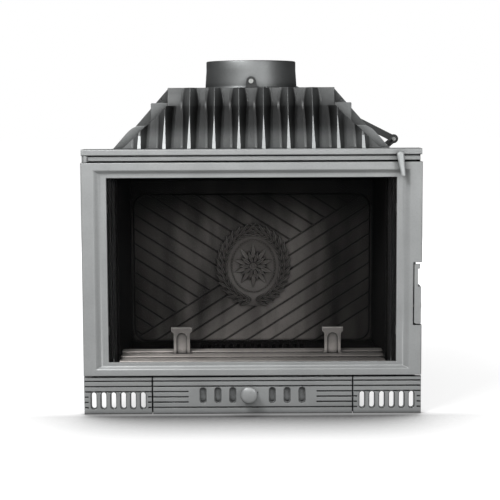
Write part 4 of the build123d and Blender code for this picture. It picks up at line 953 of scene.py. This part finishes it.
# Each petal ring is (place outwards, petals' length, width); profiles are (distance from the axis, height)
wreath = {"x": 3.5, "z": 271, "plate": (84, 93), "plateSteps": 96, "line": (69, 79), "leaves": 30,
          "leafLong": 31, "leafWide": 8.6, "leafHigh": 4.2, "leafRise": 2.2, "leafLift": 1.2, "start": 0.35,
          "reach": 0.97, "sprays": ((0.52, 1.0), (-0.48, 0.86), (0.04, 0.92)), "dish": (50, 60), "bead": 2.3,
          "beads": 56, "beadRise": 2.2, "petals": 10, "rings": ((0, 40, 15), (1, 27, 11)), "petalHigh": 3.6,
          "petalFoot": 5, "petalRise": (0.5, 1.6), "petalLift": 0.4, "longer": 0.16,
          "plateRise": ((1.0, 1.5), (1.0, -1.4), (0.985, -2.2), (0.965, -2.5), (0.62, -2.5), (0.60, -1.2)),
          "button": ((9, -1), (9, 3.4), (8, 5.0), (6, 5.6), (5, 4.9), (3.2, 6.2), (0, 6.8)),
          "buttonSteps": 32}


# levels are shares of a leaf's length, rib and vein are shares of its half width and height
leafForm = {"levels": (0.0, 0.07, 0.2, 0.38, 0.56, 0.74, 0.88, 0.96, 1.0), "lean": 0.8, "least": 0.02,
            "flat": 0.7, "rib": 0.55, "vein": 0.55, "rim": -0.2, "under": 1.0}


def leaf(bm, spot, turn, long, wide, high, lift):
    # one cast leaf lying on the fireback: pointed at both ends, two full halves and a vein between them
    loops = []
    rim, under = leafForm["rim"], leafForm["under"]
    for t in leafForm["levels"]:
        full = max(math.sin(math.pi * t ** leafForm["lean"]), leafForm["least"])
        w, h = wide / 2 * full, high * full ** leafForm["flat"]
        rib, vein = w * leafForm["rib"], h * leafForm["vein"]
        section = ((-w, under), (-w, rim), (-rib, -h), (0, -vein), (rib, -h), (w, rim), (w, under))
        loops.append([Vector((x, y - lift * t, long * t)) for x, y in section])
    pose = Matrix.Translation((spot[0], fireback["front"] - spot[2], spot[1])) @ Matrix.Rotation(turn, 4, "Y")
    stackLoops(bm, [[pose @ point for point in ring] for ring in loops])


def onOval(radii, angle):
    return (wreath["x"] + radii[0] * math.cos(angle), wreath["z"] + radii[1] * math.sin(angle))


def wreathPlate():
    middle = wreath["x"], wreath["z"]
    oval = [onOval(wreath["plate"], math.tau * n / wreath["plateSteps"]) for n in range(wreath["plateSteps"])]
    loops = [[(middle[0] + (x - middle[0]) * k, fireback["front"] + y, middle[1] + (z - middle[1]) * k)
              for x, z in oval] for k, y in wreath["plateRise"]]
    return drawn("wreath_plate", stackLoops, loops)


def wreathLeaves(bm):
    # the leaves run up both sides from the foot and meet at the top
    oneSide = wreath["leaves"] / 2
    for n in range(wreath["leaves"]):
        way = 1 if n < oneSide else -1
        step = (n % oneSide + wreath["start"]) / oneSide
        angle = -math.pi / 2 + way * math.pi * step * wreath["reach"]
        tangent = math.atan2(wreath["line"][1] * math.cos(angle), -wreath["line"][0] * math.sin(angle))
        heading = math.pi / 2 - tangent + (0 if way > 0 else math.pi)
        for lean, share in wreath["sprays"]:
            leaf(bm, onOval(wreath["line"], angle) + (wreath["leafRise"],), heading + way * lean,
                 wreath["leafLong"] * share, wreath["leafWide"], wreath["leafHigh"], wreath["leafLift"])


def wreathBeads(bm):
    y = fireback["front"] - wreath["beadRise"]
    for n in range(wreath["beads"]):
        x, z = onOval(wreath["dish"], math.tau * n / wreath["beads"])
        pose = Matrix.Translation((x, y, z)) @ Matrix.Scale(wreath["bead"], 4)
        bmesh.ops.create_icosphere(bm, subdivisions=2, radius=1, matrix=pose)


def rosette(bm):
    x, z, foot, rise = wreath["x"], wreath["z"], wreath["petalFoot"], wreath["petalRise"]
    for ring, long, wide in wreath["rings"]:
        for n in range(wreath["petals"]):
            turn = math.tau * (n + ring / 2) / wreath["petals"]
            stretch = 1 + wreath["longer"] * abs(math.cos(turn))
            leaf(bm, (x + foot * math.sin(turn), z + foot * math.cos(turn), rise[0] + rise[1] * ring), turn,
                 long * stretch, wide, wreath["petalHigh"], wreath["petalLift"])
    button = [(x + out, fireback["front"] - high, z) for out, high in wreath["button"]]
    spinProfile(bm, button, (x, 0, z), (0, 1, 0), wreath["buttonSteps"])


place(firebackPlate(), firebackIron, "carcass", ["fireback"], edge=0.8, segments=2)
place(drawn("fireback_planks", planks), firebackIron, "carcass", edge=0.8, segments=2)
for piece in (wreathPlate(), drawn("wreath_leaves", wreathLeaves), drawn("wreath_beads", wreathBeads),
              drawn("rosette", rosette)):
    place(piece, wreathIron, "carcass", angle=50)

sill = {"half": 278, "front": 29, "low": 88, "first": 108, "deep": 30, "rise": 5, "treads": 3, "nose": 2.2,
        "nosing": ((0, 1), (0.12, 0.45), (0.5, 0.1), (1, 0)), "under": 2, "groove": 1.6, "grooveTop": 0.9,
        "channel": (5, 3.4, 1.8), "channelDeep": 1.2}


def frontSill():
    # each tread has a rounded nosing with a fine groove under it and a shallow channel at its back
    y, z, deep, rise, r = sill["front"], sill["first"], sill["deep"], sill["rise"], sill["nose"]
    last = sill["treads"] - 1
    outline = [(y, sill["low"]), (y, z - r - sill["under"])]
    for step in range(sill["treads"]):
        front, top = y + step * deep, z + step * rise
        if step:
            outline += [(front + sill["groove"], top - down) for down in (rise, r * sill["grooveTop"])]
        outline += [(front + r * out, top - r * down) for out, down in sill["nosing"]]
        outline.append((front + deep - sill["channel"][0], top))
        if step < last:
            outline += [(front + deep - inward, top - sill["channelDeep"]) for inward in sill["channel"][1:]]
    back = y + sill["treads"] * deep
    outline += [(back, z + last * rise), (back, sill["low"])]
    return drawn("stepped_sill", plateFrom, outline, 2 * sill["half"], sideways(-sill["half"]))


place(frontSill(), sillIron, "carcass", ["front_sill"], edge=0.3, segments=2, angle=50)
print("firebox built")


# Pieces that keep the shape of their solid: each gets its finish and rounded edges of this width

finish = {
    framePaint: {"front_frame": 1.4},
    facePaint: {"top_plate": 1.2, "latch_lever": 0.9},
    paleHighlightPaint: {"damper_lever": 0.8},
    shellPaint: {"ash_housing": 0.8, "back_wall": 1.2, "floor_plate": 0.8, "tie_lugs": 0.8, "ash_pan": 0.5},
    wallPaint: {"side_wall_left": 1.2, "side_wall_right": 1.2},
    zincSheet: {"air_shutter": 0.0},
    bodyPaint: {"shaft_bracket": 0.8, "damper_flap": 0.8, "damper_link": 1.0, "control_crank": 0.8,
                "flap_crank": 0.8},
    guardIron: {"log_guard_left": 1.0, "log_guard_right": 1.0},
    # black with soot and painted shade; on the hearth plate and the grate it is painted shade under the sill
    sootedIron: {"liner_left": 1.0, "liner_right": 1.0, "baffle": 0.8, "hearth_plate": 0.8, "ash_grate": 0.8},
    stoveGlass: {"door_glass": 0.4},
    sealRope: {"glass_tape": 0.0},
    platedSteel: {"flap_shaft": 0.3, "clip_screws": 0.4, "glass_clips": 0.3, "control_pin": 0.4,
                  "flap_pin": 0.4, "latch_pivot_pin": 0.3},
    darkSteel: {"hinge_pins": 0.4, "hinge_strap": 0.8, "latch_keeper": 0.4, "control_shaft": 0.3,
                "tie_rods": 0.0, "tie_nuts": 0.5}}
facetWeld = 0.005  # the facets of a solid meet within this


def dress(piece, material, edge):
    for slot in range(len(piece.data.materials)):
        piece.data.materials[slot] = material
    if edge:
        weld = piece.modifiers.new("join the facets", "WELD")
        weld.merge_threshold = facetWeld / 1000
        softenEdges(piece, edge, 2, 35)


for material, pieces in finish.items():
    for name, edge in pieces.items():
        dress(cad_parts[name], material, edge)
print("solids dressed")


# Stage, light and camera

view = {"from": (-3.89, -2800, 621.65), "down": 5.6798, "roll": -0.278, "focal": 1370.22, "image": 500,
        "sensor": 36, "clip": 50}
camera = bpy.data.cameras.new("camera")
camera.sensor_width = view["sensor"]
camera.lens = view["focal"] * view["sensor"] / view["image"]
camera.clip_end = view["clip"]
cameraObject = bpy.data.objects.new("camera", camera)
cameraObject.matrix_world = (Matrix.Translation(toFrame @ Vector(view["from"]))
                             @ Matrix.Rotation(math.radians(90 - view["down"]), 4, "X")
                             @ Matrix.Rotation(math.radians(view["roll"]), 4, "Z"))
bpy.context.scene.collection.objects.link(cameraObject)
bpy.context.scene.camera = cameraObject

# painted contact shadow: reach of each shadow ring, openness at which it starts and ends, and its darkest
# value
floorLook = {"near": 0.8, "far": 1.0, "farFrom": (400, 1600), "paper": 0.38, "mirrored": 0.2,
             "front": (-235, -200), "contact": ((300, 0.52, 0.99, 0.04), (50, 0.5, 0.95, 0.45)),
             "samples": 16, "half": 30000, "height": -0.3}


def paleFloor():
    # Matt white paper. Far from the insert it glows like the background, so that no horizon shows; near
    # the insert it glows a little less, and a painted shadow darkens both its glow and its paper next to the
    # insert.
    material, tree, spots = startMaterial("white paper sweep")
    depth = addNode(tree, "SeparateXYZ", {0: spots}).outputs["Y"]
    front = ranged(tree, depth, metres(*floorLook["front"]), (1.0, 0.0))
    wide, close = [ranged(tree, openness(tree, reach, floorLook["samples"]), (low, high), (dark, 1.0))
                   for reach, low, high, dark in floorLook["contact"]]
    # the wide ring of painted shadow fades out in front, where the lamps reach
    shade = calculate(tree, "MULTIPLY", addNode(tree, "Mix", {0: front, 2: 1.0, 3: wide}).outputs[0], close)
    paper = addNode(tree, "BsdfDiffuse", {"Color": calculate(tree, "MULTIPLY", shade, floorLook["paper"])})
    away = addNode(tree, "VectorMath", {"operation": "LENGTH", 0: spots}).outputs["Value"]
    far = ranged(tree, away, metres(*floorLook["farFrom"]), (floorLook["near"], floorLook["far"]))
    rays = addNode(tree, "LightPath").outputs
    mirrored = calculate(tree, "MULTIPLY", rays["Is Glossy Ray"], floorLook["mirrored"])
    seen = calculate(tree, "MAXIMUM", rays["Is Camera Ray"], mirrored)
    amount = calculate(tree, "MULTIPLY", seen, calculate(tree, "MULTIPLY", far, shade))
    glow = addNode(tree, "Emission", {"Color": linear("#ffffff"), "Strength": amount})
    both = addNode(tree, "AddShader", {0: paper.outputs[0], 1: glow.outputs[0]})
    addNode(tree, "OutputMaterial", {"Surface": both.outputs[0]})
    return material


floorMesh = bmesh.new()
bmesh.ops.create_grid(floorMesh, x_segments=2, y_segments=2, size=floorLook["half"])
bmesh.ops.translate(floorMesh, vec=(0, 0, floorLook["height"]), verts=floorMesh.verts[:])
floor = meshObject(floorMesh, "floor")
floor.data.materials.append(paleFloor())


def studioWorld():
    # white where the camera looks past the insert, and very dim as a light on it
    world = bpy.data.worlds.new("studio")
    world.use_nodes = True
    tree = world.node_tree
    tree.nodes.clear()
    rays = addNode(tree, "LightPath").outputs
    seen = calculate(tree, "MAXIMUM", rays["Is Camera Ray"], rays["Is Transmission Ray"])
    plain = addNode(tree, "Background", {"Color": linear("#ffffff"), "Strength": 1.0})
    soft = addNode(tree, "Background", {"Color": linear("#f2f4f7"), "Strength": 0.04})
    pick = addNode(tree, "MixShader", {0: seen, 1: soft.outputs[0], 2: plain.outputs[0]})
    addNode(tree, "OutputWorld", {"Surface": pick.outputs[0]})
    return world


def softBox(name, spot, aim, size, watts, mirrored=True):
    light = bpy.data.lights.new(name, "AREA")
    light.shape = "RECTANGLE"
    light.size, light.size_y = size
    light.energy = watts
    lamp = bpy.data.objects.new(name, light)
    lamp.visible_glossy = mirrored
    start, end = toFrame @ Vector(spot), toFrame @ Vector(aim)
    turn = (end - start).to_track_quat("-Z", "Y").to_matrix().to_4x4()
    lamp.matrix_world = Matrix.Translation(start) @ turn
    bpy.context.scene.collection.objects.link(lamp)


bpy.context.scene.world = studioWorld()
softBox("key, front left and high", (-1350, -1700, 2800), (0, 60, 330), (1.3, 1.0), 86)
softBox("front, beside the camera", (-350, -3600, 1450), (0, 0, 350), (1.6, 1.2), 29)
softBox("behind, for the back wall", (300, 3700, 1500), (0, 300, 400), (2.4, 1.6), 60, mirrored=False)
softBox("small, right front", (1500, -2300, 1300), (0, 0, 330), (0.5, 0.5), 19)

bpy.context.scene.view_settings.view_transform = "Standard"
print("stage ready")
